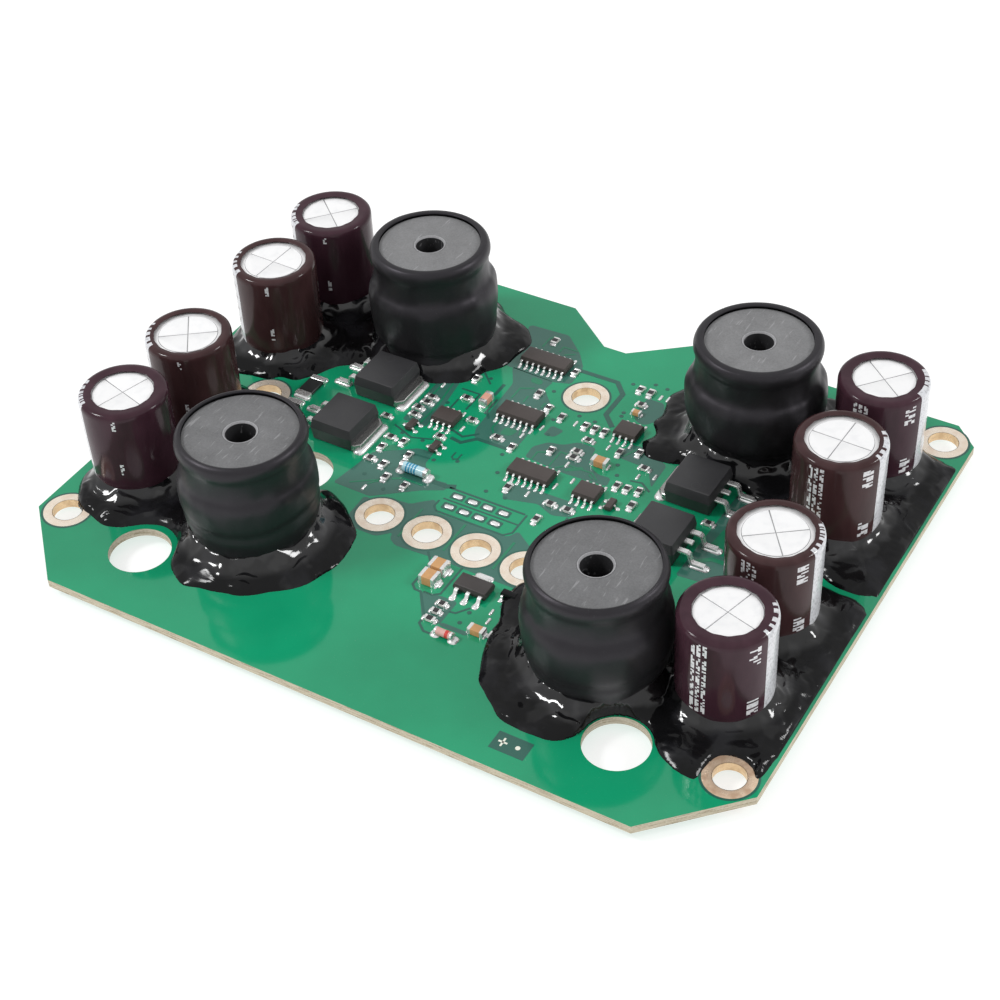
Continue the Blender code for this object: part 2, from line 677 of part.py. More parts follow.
def make_potting(name, choke, pool, held, finish):
    """A pool of potting compound on the board, cut away around the pieces and over the holes."""
    capacitors = capacitor_places()
    chokes = choke_places()
    collar = CAPACITOR_DIAMETER / 2 + CAPACITOR_COLLAR
    discs = [(*capacitors[capacitor], collar) for capacitor in held]
    if choke is not None:
        spread, (shift_x, shift_y) = pool
        x, y = chokes[choke]
        discs.append((x + shift_x, y + shift_y, choke_radius() + spread))
    low, high = BOARD_TOP + SEAT_GAP, BOARD_TOP + POTTING_HEIGHT
    shape = bmesh.new()
    for x, y, radius in discs:
        for step in range(CHOKE_STEPS):
            turn = 2 * math.pi * step / CHOKE_STEPS
            for reach, height in ((radius, low), (radius - POTTING_EDGE, high)):
                shape.verts.new((x + reach * math.cos(turn), y + reach * math.sin(turn), height))
    hull = bmesh.ops.convex_hull(shape, input=shape.verts)
    inside = [item for item in hull["geom_interior"] if isinstance(item, bmesh.types.BMVert)]
    bmesh.ops.delete(shape, geom=inside, context="VERTS")
    potting = add_object(name, finished(shape, name), finish)

    below, above = BOARD_BOTTOM, BOARD_TOP + 2 * POTTING_HEIGHT
    shape_with(potting, name + "_rim", prism(name + "_rim", board_outline(), below, above), "INTERSECT")
    choke_hole = choke_radius() + POTTING_GAP
    capacitor_hole = CAPACITOR_DIAMETER / 2 + POTTING_GAP
    cutters = (
        ("_choke_holes", list(chokes.values()), choke_hole, CHOKE_STEPS),
        ("_can_holes", list(capacitors.values()), capacitor_hole, ROUND_STEPS),
        ("_screw_holes", terminal_places(), TERMINAL_BORE / 2 + HOLE_MARGIN, HOLE_STEPS),
        ("_plain_holes", clearance_places(), CLEARANCE_BORE / 2 + HOLE_MARGIN, ROUND_STEPS),
    )
    for label, places, radius, steps in cutters:
        shape_with(potting, name + label, posts(name + label, places, radius, below, above, steps))


def main():
    """Build the assembly."""
    for piece in list(bpy.data.objects):
        bpy.data.objects.remove(piece, do_unlink=True)
    finishes = {
        "can": material("can_aluminium", (0.80, 0.80, 0.81), 0.32, 1.0),
        "rubber": material("bung_rubber", (0.03, 0.03, 0.03), 0.7),
        "sleeve": material("sleeve_purple_brown", (0.075, 0.035, 0.05), 0.22),
        "ferrite": material("ferrite_grey", (0.20, 0.20, 0.20), 0.75),
        "copper": material("copper_enamel", (0.60, 0.25, 0.10), 0.3, 0.9),
        "heat_shrink": material("heat_shrink_black", (0.028, 0.028, 0.031), 0.42),
        "moulding": material("moulding_charcoal", (0.06, 0.058, 0.06), 0.5),
        "tinned": material("tinned_metal", (0.78, 0.78, 0.77), 0.28, 1.0),
        "ceramic": material("ceramic_tan", (0.62, 0.36, 0.17), 0.4),
    }
    make_board(material("solder_mask_green", (0.05, 0.32, 0.18), 0.38))
    capacitors = capacitor_places()
    for name, _, _, _, _, rim in CAPACITORS:
        make_capacitor(name, capacitors[name], rim, finishes)
    for name, place in choke_places().items():
        make_choke(name, place, finishes)
    for name, side, row in TRANSISTORS:
        make_transistor(name, transistor_place(side, row), side, finishes)
    make_control_circuit(finishes)
    potting = material("potting_black", (0.012, 0.012, 0.013), 0.12)
    for name, choke, pool, held in POTTINGS:
        make_potting(name, choke, pool, held, potting)


main()
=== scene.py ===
"""Looks of a power converter board: solder mask and tracks, screw rings, chokes in shrunk sleeves,
can capacitors, tab transistors, chips with their leads, small passives and potting compound.

Shapes are worked out in board millimetres: X and Y from the front left corner of the board's
outline and Z from the top of the board. Finished meshes are in metres in the frame's own place.
"""

import json
import logging
import math
from dataclasses import dataclass
from enum import Enum
from typing import Callable, Iterable, Sequence

import bmesh
import bpy
import numpy as np
from mathutils import Matrix, Vector, noise

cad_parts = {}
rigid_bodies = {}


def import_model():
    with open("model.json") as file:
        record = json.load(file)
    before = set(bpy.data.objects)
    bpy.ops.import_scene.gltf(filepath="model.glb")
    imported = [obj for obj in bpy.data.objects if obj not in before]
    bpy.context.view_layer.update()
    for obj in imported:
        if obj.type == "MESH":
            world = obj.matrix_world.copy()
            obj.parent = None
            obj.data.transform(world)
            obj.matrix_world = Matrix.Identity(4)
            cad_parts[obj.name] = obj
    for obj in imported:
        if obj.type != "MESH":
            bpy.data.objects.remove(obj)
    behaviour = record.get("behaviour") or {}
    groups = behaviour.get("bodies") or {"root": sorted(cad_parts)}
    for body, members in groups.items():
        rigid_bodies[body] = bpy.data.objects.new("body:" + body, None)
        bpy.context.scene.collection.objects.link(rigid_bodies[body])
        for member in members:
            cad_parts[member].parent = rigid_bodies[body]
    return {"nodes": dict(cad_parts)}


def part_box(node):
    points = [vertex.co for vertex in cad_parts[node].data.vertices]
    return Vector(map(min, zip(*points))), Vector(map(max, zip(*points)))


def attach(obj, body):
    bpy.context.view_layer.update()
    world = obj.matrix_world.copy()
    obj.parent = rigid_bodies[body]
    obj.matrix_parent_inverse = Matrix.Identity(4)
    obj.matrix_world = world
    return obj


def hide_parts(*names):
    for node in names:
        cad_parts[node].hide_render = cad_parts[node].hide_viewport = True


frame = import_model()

log = logging.getLogger("board")

MM = 0.001
BODY = "root"
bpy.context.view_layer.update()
BOARD_LOW, BOARD_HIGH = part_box("circuit_board")
BOARD_LENGTH = (BOARD_HIGH.x - BOARD_LOW.x) / MM
BOARD_DEPTH = (BOARD_HIGH.y - BOARD_LOW.y) / MM
BOARD_THICKNESS = (BOARD_HIGH.z - BOARD_LOW.z) / MM
ORIGIN = (0.0, 0.0, 0.0)

Flat = tuple[float, float]
Place = tuple[float, float, float]
Colour = tuple[float, float, float]


def pairs(*numbers: float) -> tuple[Flat, ...]:
    """Points on the board from their X and Y in turn."""
    return tuple(zip(numbers[::2], numbers[1::2]))


class Along(Enum):
    """Which way a small piece lies on the board, as its turn in radians."""

    X = 0.0
    Y = math.pi / 2


class FilmTint(Enum):
    """The two batches of capacitor film."""

    PURPLE = (0.040, 0.016, 0.024)
    BROWN = (0.044, 0.020, 0.021)


# Shader maths
def operator(operation: str, reflected: bool = False) -> Callable[["Value", "Value | float"], "Value"]:
    """An arithmetic method of Value, which adds one Math node.

    Args:
        operation: The node's operation.
        reflected: Whether the other value comes first.

    Returns:
        The method.
    """

    def method(self: "Value", other: "Value | float") -> "Value":
        """The result of the operation on the two values."""
        values = dict(enumerate((other, self) if reflected else (self, other)))
        node = self.graph.node("ShaderNodeMath", {"operation": operation}, values)
        return Value(self.graph, node.outputs[0])

    return method


class Value:
    """One output socket of a shader graph. Arithmetic on it adds Math nodes."""

    def __init__(self, graph: "Graph", socket: bpy.types.NodeSocket) -> None:
        """Keep the graph and the socket."""
        self.graph = graph
        self.socket = socket

    __add__, __radd__ = operator("ADD"), operator("ADD", True)
    __sub__, __rsub__ = operator("SUBTRACT"), operator("SUBTRACT", True)
    __mul__, __rmul__ = operator("MULTIPLY"), operator("MULTIPLY", True)

    def between(self, low: float, high: float) -> "Value":
        """A smooth step.

        Args:
            low: Where the result is 0.
            high: Where the result is 1.

        Returns:
            The stepped value.
        """
        inputs = {"Value": self, "From Min": low, "From Max": high}
        node = self.graph.node("ShaderNodeMapRange", {"interpolation_type": "SMOOTHSTEP"}, inputs)
        return Value(self.graph, node.outputs["Result"])


def add_node(
    tree: bpy.types.NodeTree, kind: str, settings: dict | None = None, inputs: dict | None = None
) -> bpy.types.Node:
    """Add any node to a tree.

    Args:
        tree: The tree.
        kind: The node's type.
        settings: Its properties, which are set first.
        inputs: Values or links of its sockets, by name or by number.

    Returns:
        The node.
    """
    node = tree.nodes.new(kind)
    for key, value in (settings or {}).items():
        setattr(node, key, value)
    for key, value in (inputs or {}).items():
        if isinstance(value, bpy.types.NodeSocket):
            tree.links.new(value, node.inputs[key])
        else:
            node.inputs[key].default_value = value
    return node


class Graph:
    """A material's node graph around its Principled shader."""

    def __init__(self, name: str) -> None:
        """Start a new material with one Principled shader."""
        self.material = bpy.data.materials.new(name)
        self.material.use_nodes = True
        self.links = self.material.node_tree.links
        self.shader = self.material.node_tree.nodes["Principled BSDF"]
        self.place = Value(self, self.node("ShaderNodeTexCoord").outputs["Object"])

    def node(self, kind: str, settings: dict | None = None, inputs: dict | None = None) -> bpy.types.Node:
        """Add any node, whose inputs may be values of this graph."""
        given = {key: value.socket if isinstance(value, Value) else value
                 for key, value in (inputs or {}).items()}
        return add_node(self.material.node_tree, kind, settings, given)

    def stretched(self, scale: Place) -> Value:
        """The piece's place, scaled along each axis."""
        node = self.node("ShaderNodeMapping", None, {"Vector": self.place, "Scale": scale})
        return Value(self, node.outputs["Vector"])

    def noise(self, size: float, detail: float = 2.0, vector: Value | None = None, rough: float = 0.5) -> Value:
        """Noise between 0 and 1.

        Args:
            size: The size of a blot, in millimetres.
            detail: How many finer layers it has.
            vector: Where it is read, instead of the piece's place.
            rough: How strong the finer layers are.

        Returns:
            The noise.
        """
        scale = 1.0 / (size * MM)
        inputs = {"Vector": vector or self.place, "Scale": scale, "Detail": detail, "Roughness": rough}
        return Value(self, self.node("ShaderNodeTexNoise", None, inputs).outputs["Fac"])

    def mixed(self, first: "Colour | Value", second: "Colour | Value", share: Value) -> Value:
        """A mix of two colours.

        Args:
            first: The colour where share is 0.
            second: The colour where share is 1.
            share: How much of the second.

        Returns:
            The mixed colour.
        """
        colours = [item if isinstance(item, Value) else (*item, 1.0) for item in (first, second)]
        node = self.node("ShaderNodeMix", {"data_type": "RGBA"}, {0: share, 6: colours[0], 7: colours[1]})
        return Value(self, node.outputs[2])

    def raised(self, height: Value, depth: float, strength: float = 1.0) -> None:
        """Feed the shader's Normal from a height.

        Args:
            height: The height, from 0 to 1.
            depth: How deep its full range is, in millimetres.
            strength: How much of it shows.
        """
        inputs = {"Height": height, "Distance": depth * MM, "Strength": strength}
        node = self.node("ShaderNodeBump", None, inputs)
        self.links.new(node.outputs["Normal"], self.shader.inputs["Normal"])

    def feed(self, **sockets: "Value | float | Colour") -> bpy.types.Material:
        """Set or link the shader's sockets, named with _ for a space.

        Args:
            **sockets: A value, a colour or a linked value for each socket.

        Returns:
            The material.
        """
        for key, value in sockets.items():
            socket = self.shader.inputs[key.replace("_", " ")]
            if isinstance(value, Value):
                self.links.new(value.socket, socket)
            else:
                socket.default_value = (*value, 1.0) if isinstance(value, tuple) else value
        return self.material


# Finishes
@dataclass(frozen=True)
class Finish:
    """A finish with its name and main colour. Each kind of finish says how it varies over the surface."""

    name: str
    colour: Colour

    def tone(self, share: float, lift: float = 0.0) -> Colour:
        """Its colour made darker or paler."""
        return tuple(min(1.0, share * part + lift) for part in self.colour)


@dataclass(frozen=True)
class SolderMask(Finish):
    """Satin solder mask. The colour depends on whether copper lies under it."""

    name: str = "mask_over_copper"
    colour: Colour = (0.004, 0.298, 0.138)
    gloss: float = 0.09

    def material(self) -> bpy.types.Material:
        """The finish as a material."""
        graph = Graph(self.name)
        cloud = graph.noise(9.0, 2.0)
        weave = graph.noise(0.45, 3.0)
        deep = self.tone(0.86)
        pale = self.tone(1.14, 0.004)
        colour = graph.mixed(deep, pale, cloud * 0.85 + weave * 0.15)
        dust = graph.noise(0.16, 1.0).between(0.74, 0.80)
        colour = graph.mixed(colour, (0.25, 0.42, 0.34), dust * 0.35)
        graph.raised(weave, 0.02, 0.08)
        roughness = weave * 0.05 + (self.gloss - 0.04)
        return graph.feed(Base_Color=colour, Roughness=roughness, IOR=1.55)


@dataclass(frozen=True)
class Laminate(Finish):
    """The cut edge of the glass-fibre board: cream resin with darker layers of glass."""

    name: str = "laminate_edge"
    colour: Colour = (0.56, 0.50, 0.37)

    def material(self) -> bpy.types.Material:
        """The finish as a material."""
        graph = Graph(self.name)
        layers = graph.noise(1.0, 2.0, graph.stretched((0.25, 0.25, 5.0)))
        chips = graph.noise(0.35, 2.0).between(0.35, 0.75)
        colour = graph.mixed((0.30, 0.24, 0.15), self.colour, layers.between(0.32, 0.56))
        colour = graph.mixed(colour, (0.70, 0.66, 0.54), chips * 0.4)
        graph.raised(chips, 0.08, 0.6)
        return graph.feed(Base_Color=colour, Roughness=0.72)


@dataclass(frozen=True)
class RingPlate(Finish):
    """Flash-gilded copper of the screw rings, a little stained."""

    name: str = "ring_plate"
    colour: Colour = (0.97, 0.86, 0.73)
    stain: Colour = (0.74, 0.52, 0.36)
    stained: float = 0.35
    metal: float = 0.55

    def material(self) -> bpy.types.Material:
        """The finish as a material."""
        graph = Graph(self.name)
        blots = graph.noise(1.6, 3.0).between(0.38, 0.72)
        colour = graph.mixed(self.colour, self.stain, blots * self.stained)
        grain = graph.noise(0.12, 2.0)
        graph.raised(grain, 0.01, 0.4)
        return graph.feed(Base_Color=colour, Metallic=self.metal, Roughness=blots * 0.14 + 0.27)


@dataclass(frozen=True)
class Tin(Finish):
    """Tinned metal and solder. Its darker copies are painted shade: the transistor tabs and the grooves of the
    can's vent.
    """

    name: str = "tin"
    colour: Colour = (0.90, 0.90, 0.89)
    gloss: float = 0.16
    metal: float = 0.75

    def material(self) -> bpy.types.Material:
        """The finish as a material."""
        graph = Graph(self.name)
        flow = graph.noise(0.9, 3.0)
        dull = self.tone(0.72)
        colour = graph.mixed(self.colour, dull, flow.between(0.50, 0.78))
        graph.raised(flow, 0.06, 0.5)
        return graph.feed(Base_Color=colour, Metallic=self.metal, Roughness=flow * 0.20 + self.gloss)


@dataclass(frozen=True)
class Film(Finish):
    """Glossy shrink film of a capacitor, with faint waves where it shrank."""

    name: str = "film"
    colour: Colour = FilmTint.PURPLE.value

    def material(self) -> bpy.types.Material:
        """The finish as a material."""
        graph = Graph(self.name)
        wave = graph.noise(3.2, 2.0, graph.stretched((1.0, 1.0, 0.35)))
        fine = graph.noise(0.3, 2.0)
        pale = self.tone(1.5, 0.004)
        colour = graph.mixed(self.colour, pale, wave.between(0.35, 0.75) * 0.6)
        graph.raised(wave * 0.8 + fine * 0.06, 0.22, 0.35)
        return graph.feed(Base_Color=colour, Roughness=fine * 0.06 + 0.11, Specular_IOR_Level=0.22)


@dataclass(frozen=True)
class FilmPrint(Finish):
    """Pale ink on the film."""

    name: str = "film_print"
    colour: Colour = (0.74, 0.74, 0.76)

    def material(self) -> bpy.types.Material:
        """The finish as a material."""
        graph = Graph(self.name)
        worn = graph.noise(0.5, 2.0).between(0.25, 0.55)
        dull = self.tone(0.6)
        graph.raised(graph.noise(3.2, 2.0), 0.15, 0.3)
        return graph.feed(Base_Color=graph.mixed(dull, self.colour, worn), Roughness=0.22, Coat_Weight=0.4)


@dataclass(frozen=True)
class CanMetal(Finish):
    """Drawn aluminium, brushed in fine lines."""

    name: str = "can_metal"
    colour: Colour = (0.96, 0.96, 0.965)

    def material(self) -> bpy.types.Material:
        """The finish as a material."""
        graph = Graph(self.name)
        lines = graph.noise(0.5, 3.0, graph.stretched((0.35, 4.0, 1.0)))
        spots = graph.noise(2.0, 2.0).between(0.45, 0.8)
        colour = graph.mixed(self.colour, (0.80, 0.81, 0.83), spots * 0.4)
        graph.raised(lines, 0.012, 0.4)
        return graph.feed(Base_Color=colour, Metallic=0.30, Roughness=lines * 0.16 + 0.26)


@dataclass(frozen=True)
class Bung(Finish):
    """Black rubber of a capacitor's bung."""

    name: str = "bung_rubber"
    colour: Colour = (0.015, 0.015, 0.015)

    def material(self) -> bpy.types.Material:
        """The finish as a material."""
        graph = Graph(self.name)
        grain = graph.noise(0.25, 3.0)
        graph.raised(grain, 0.05, 0.5)
        colour = graph.mixed(self.colour, (0.035, 0.035, 0.034), grain)
        return graph.feed(Base_Color=colour, Roughness=0.68)


@dataclass(frozen=True)
class Ferrite(Finish):
    """Sintered ferrite: dry grey with pale and dark grains, pits and scuffs."""

    name: str = "ferrite"
    colour: Colour = (0.138, 0.139, 0.143)

    def material(self) -> bpy.types.Material:
        """The finish as a material."""
        graph = Graph(self.name)
        grain = graph.noise(0.28, 3.0, rough=0.7)
        cloud = graph.noise(4.0, 3.0)
        scuff = graph.noise(1.6, 2.0, graph.stretched((3.0, 0.4, 1.0))).between(0.62, 0.72)
        dark = self.tone(0.36)
        pale = self.tone(1.74)
        colour = graph.mixed(dark, pale, grain * 0.6 + cloud * 0.4)
        colour = graph.mixed(colour, (0.40, 0.40, 0.41), scuff * 0.36)
        graph.raised(grain, 0.07, 0.7)
        return graph.feed(Base_Color=colour, Roughness=0.62 - scuff * 0.12)


@dataclass(frozen=True)
class CoilCopper(Finish):
    """Enamelled copper wire, wound close."""

    name: str = "coil_copper"
    colour: Colour = (0.42, 0.13, 0.05)

    def material(self) -> bpy.types.Material:
        """The finish as a material."""
        graph = Graph(self.name)
        inputs = {"Vector": graph.place, "Scale": 260.0}
        turns = graph.node("ShaderNodeTexWave", {"bands_direction": "Z"}, inputs)
        ridge = Value(graph, turns.outputs["Fac"])
        tone = graph.noise(1.5, 2.0)
        colour = graph.mixed(self.colour, (0.78, 0.34, 0.16), tone * 0.6 + ridge * 0.4)
        graph.raised(ridge, 0.25, 0.8)
        return graph.feed(Base_Color=colour, Metallic=0.9, Roughness=0.28)


@dataclass(frozen=True)
class HeatShrink(Finish):
    """Satin black heat-shrink tube."""

    name: str = "heat_shrink"
    colour: Colour = (0.011, 0.011, 0.012)

    def material(self) -> bpy.types.Material:
        """The finish as a material."""
        graph = Graph(self.name)
        fine = graph.noise(0.22, 3.0)
        drawn = graph.noise(1.4, 3.0, graph.stretched((1.0, 1.0, 0.3)))
        dust = graph.noise(0.35, 2.0).between(0.66, 0.78)
        colour = graph.mixed(self.colour, (0.05, 0.05, 0.052), dust * 0.45 + drawn * 0.10)
        graph.raised(drawn * 0.7 + fine * 0.3, 0.12, 0.35)
        return graph.feed(Base_Color=colour, Roughness=drawn * 0.14 + 0.34, Specular_IOR_Level=0.38,
                          Specular_Tint=(0.95, 0.88, 1.0))


@dataclass(frozen=True)
class Moulding(Finish):
    """Moulding compound of transistors and chips."""

    name: str = "transistor_moulding"
    colour: Colour = (0.027, 0.027, 0.029)
    roughness: float = 0.46

    def material(self) -> bpy.types.Material:
        """The finish as a material."""
        graph = Graph(self.name)
        grain = graph.noise(0.12, 2.0)
        cloud = graph.noise(2.2, 3.0)
        pale = self.tone(1.45, 0.004)
        colour = graph.mixed(self.colour, pale, cloud * 0.6 + grain * 0.4)
        graph.raised(grain, 0.03, 0.5)
        return graph.feed(Base_Color=colour, Roughness=grain * 0.10 + self.roughness - 0.05)


@dataclass(frozen=True)
class Potting(Finish):
    """Black silicone potting, glossy with dull smears."""

    name: str = "potting"
    colour: Colour = (0.005, 0.005, 0.0055)
    wet_low: float = 1.5
    wet_high: float = 2.3

    def material(self) -> bpy.types.Material:
        """The finish as a material."""
        graph = Graph(self.name)
        flow = graph.noise(3.0, 2.0)
        folds = graph.noise(1.3, 2.0, graph.stretched((0.35, 1.5, 0.6)), rough=0.5)
        dull = graph.noise(6.0, 3.0).between(0.46, 0.66)
        colour = graph.mixed(self.colour, (0.012, 0.012, 0.014), dull)
        graph.raised(flow * 0.5 + folds * 0.5, 0.34, 0.24)
        height = Value(graph, graph.node("ShaderNodeSeparateXYZ", None, {"Vector": graph.place}).outputs["Z"])
        board = BOARD_HIGH.z
        wet = height.between(board + self.wet_low * MM, board + self.wet_high * MM)
        smears = graph.noise(4.5, 2.0).between(0.56, 0.66)
        return graph.feed(Base_Color=colour, Roughness=dull * 0.12 + 0.08, Specular_IOR_Level=0.20,
                          Coat_Weight=wet * 0.8 + smears * 0.35, Coat_Roughness=0.07)


@dataclass(frozen=True)
class Ceramic(Finish):
    """Glazed ceramic of small capacitors and resistors."""

    name: str = "tan_ceramic"
    colour: Colour = (0.50, 0.27, 0.11)
    roughness: float = 0.35

    def material(self) -> bpy.types.Material:
        """The finish as a material."""
        graph = Graph(self.name)
        cloud = graph.noise(0.8, 3.0)
        pale = self.tone(1.35, 0.01)
        colour = graph.mixed(self.colour, pale, cloud)
        graph.raised(graph.noise(0.2, 2.0), 0.02, 0.4)
        return graph.feed(Base_Color=colour, Roughness=cloud * 0.1 + self.roughness - 0.05)


class Palette:
    """Every finish of the board, made once."""

    def __init__(self) -> None:
        """Make the materials."""
        self.mask = SolderMask().material()
        self.bare_mask = SolderMask("mask_over_laminate", (0.040, 0.150, 0.115), 0.12).material()
        self.track = SolderMask("mask_over_track", (0.012, 0.200, 0.100), 0.10).material()
        self.gap = SolderMask("mask_in_gap", (0.020, 0.110, 0.082), 0.14).material()
        self.laminate = Laminate().material()
        self.hole_wall = Laminate("drilled_laminate", (0.52, 0.46, 0.36)).material()
        self.ring = RingPlate().material()
        self.bore = RingPlate("bore_plate", (0.84, 0.62, 0.38), (0.55, 0.36, 0.20), 0.6, 0.8).material()
        self.stained_ring = RingPlate("stained_ring", (0.86, 0.66, 0.48), (0.52, 0.32, 0.20), 0.7).material()
        self.tin = Tin().material()
        self.solder = Tin("solder", (0.92, 0.92, 0.92), 0.12, 0.6).material()
        self.tinned = (self.tin, self.solder)
        # The tabs' metal is painted far darker than the tin: painted shade, and painted reflection of the dark
        # cases around it.
        self.tab = Tin("tab_metal", (0.40, 0.40, 0.39), 0.14, 0.85).material()
        self.films = {tint: Film("film_" + tint.name.lower(), tint.value).material() for tint in FilmTint}
        self.film_print = FilmPrint().material()
        self.film_stripe = FilmPrint("film_stripe", (0.66, 0.67, 0.70)).material()
        self.can = CanMetal().material()
        self.bung = Bung().material()
        self.ferrite = Ferrite().material()
        # A lighter copy of the ferrite for the back chokes' cores: painted light, for core tops that catch more
        # of the light.
        self.pale_ferrite = Ferrite("pale_ferrite", (0.176, 0.177, 0.181)).material()
        self.bore_rim = Ferrite("ferrite_bore_rim", (0.30, 0.30, 0.31)).material()
        # A near-black copy of the ferrite for the inside of the core's bore: painted shade in the hole.
        self.bore_painted_shade = Ferrite("ferrite_bore_wall", (0.022, 0.022, 0.024)).material()
        # Dark grey seen only at the bottom of the vent's grooves: painted shade in the grooves.
        self.groove_shade = Tin("can_score", (0.42, 0.42, 0.43), 0.34).material()
        self.copper = CoilCopper().material()
        self.heat_shrink = HeatShrink().material()
        self.moulding = Moulding().material()
        self.chip = Moulding("chip_moulding", (0.050, 0.040, 0.037), 0.46).material()
        self.regulator = Moulding("regulator_moulding", (0.036, 0.031, 0.030), 0.46).material()
        self.potting = Potting().material()
        self.tan = Ceramic().material()
        self.rose = Ceramic("rose_ceramic", (0.58, 0.30, 0.22)).material()
        self.alumina = Ceramic("alumina", (0.66, 0.65, 0.62), 0.45).material()
        self.resistor_glaze = Ceramic("resistor_glaze", (0.018, 0.018, 0.020), 0.28).material()
        self.shunt_coat = Moulding("shunt_coat", (0.014, 0.016, 0.016), 0.40).material()
        self.pale_lacquer = Ceramic("pale_lacquer", (0.42, 0.64, 0.70), 0.22).material()
        self.blue_band = Ceramic("blue_band", (0.04, 0.26, 0.42), 0.22).material()
        self.diode_glass = Ceramic("diode_glass", (0.62, 0.36, 0.32), 0.12).material()
        self.red_band = Ceramic("red_band", (0.55, 0.05, 0.04), 0.15).material()
        self.pale_ink = Ceramic("pale_ink", (0.70, 0.72, 0.62), 0.5).material()


# Shapes
def circle(place: Flat, radius: float, steps: int = 48) -> list[Flat]:
    """Points around a circle, anticlockwise."""
    turns = (2 * math.pi * step / steps for step in range(steps))
    return [(place[0] + radius * math.cos(turn), place[1] + radius * math.sin(turn)) for turn in turns]


def rounded(length: float, width: float, corner: float, steps: int = 3) -> list[Flat]:
    """The outline of a rounded rectangle around the origin.

    Args:
        length: Its size along X.
        width: Its size along Y.
        corner: The radius of its corners.
        steps: The facets of each corner.

    Returns:
        Its points, anticlockwise.
    """
    corner = min(corner, length / 2 * 0.99, width / 2 * 0.99)
    middles = (
        (length / 2 - corner, width / 2 - corner),
        (corner - length / 2, width / 2 - corner),
        (corner - length / 2, corner - width / 2),
        (length / 2 - corner, corner - width / 2),
    )
    points = []
    for quarter, (x, y) in enumerate(middles):
        for step in range(steps + 1):
            turn = math.pi / 2 * (quarter + step / steps)
            points.append((x + corner * math.cos(turn), y + corner * math.sin(turn)))
    return points


def rectangle(left: float, right: float, low: float, high: float) -> list[Flat]:
    """The corners of a rectangle: an outline, or the profile of a ring to be turned."""
    return [(left, low), (right, low), (right, high), (left, high)]


def dimple(radius: float, top: float) -> list[Flat]:
    """The profile of a round mark in a moulded top, to be turned: a shallow floor in a low lip."""
    return [(0.0, top - 0.01), (radius - 0.08, top - 0.01), (radius, top + 0.012), (radius + 0.12, top + 0.012),
            (radius + 0.18, top - 0.01), (radius + 0.18, top - 0.05), (0.0, top - 0.05)]


def flowing(points: Sequence[Flat], steps: int, closed: bool = True) -> list[Flat]:
    """A smooth curve through points.

    Args:
        points: The points.
        steps: The facets between each two.
        closed: Whether the last point is joined to the first.

    Returns:
        The points of the curve.
    """
    count = len(points)
    smooth = []
    for index in range(count if closed else count - 1):
        near = [index + shift for shift in (-1, 0, 1, 2)]
        near = [spot % count if closed else min(max(spot, 0), count - 1) for spot in near]
        before, start, end, after = (np.array(points[spot]) for spot in near)
        for step in range(steps):
            t = step / steps
            spot = (2 * start + (end - before) * t + (2 * before - 5 * start + 4 * end - after) * t**2
                    + (3 * start - before - 3 * end + after) * t**3)
            smooth.append(tuple(spot / 2))
    return smooth if closed else smooth + [tuple(points[-1])]


def sideways(line: Sequence[Vector], least: float = 0.0) -> list[Vector]:
    """The step to the left of each point of a line that keeps its width through the bends.

    Args:
        line: The points.
        least: The smallest cosine that a bend's step is divided by.

    Returns:
        One step for each point, for a strip that reaches 1 to each side.
    """
    steps = []
    for index, here in enumerate(line):
        before = (here - line[index - 1]).normalized() if index else None
        after = (line[index + 1] - here).normalized() if index < len(line) - 1 else None
        along = ((before or after) + (after or before)).normalized()
        steps.append(Vector((-along.y, along.x)) / max(least, along.dot(before or after)))
    return steps


def widened(points: Sequence[Flat], width: float) -> list[Flat]:
    """The outline of a track along a line, with mitred bends.

    Args:
        points: The points of its middle line.
        width: Its width.

    Returns:
        Its outline.
    """
    line = [Vector(point) for point in points]
    steps = [side * (width / 2) for side in sideways(line, 0.4)]
    left = [tuple(here + side) for here, side in zip(line, steps)]
    right = [tuple(here - side) for here, side in zip(line, steps)]
    return left + right[::-1]


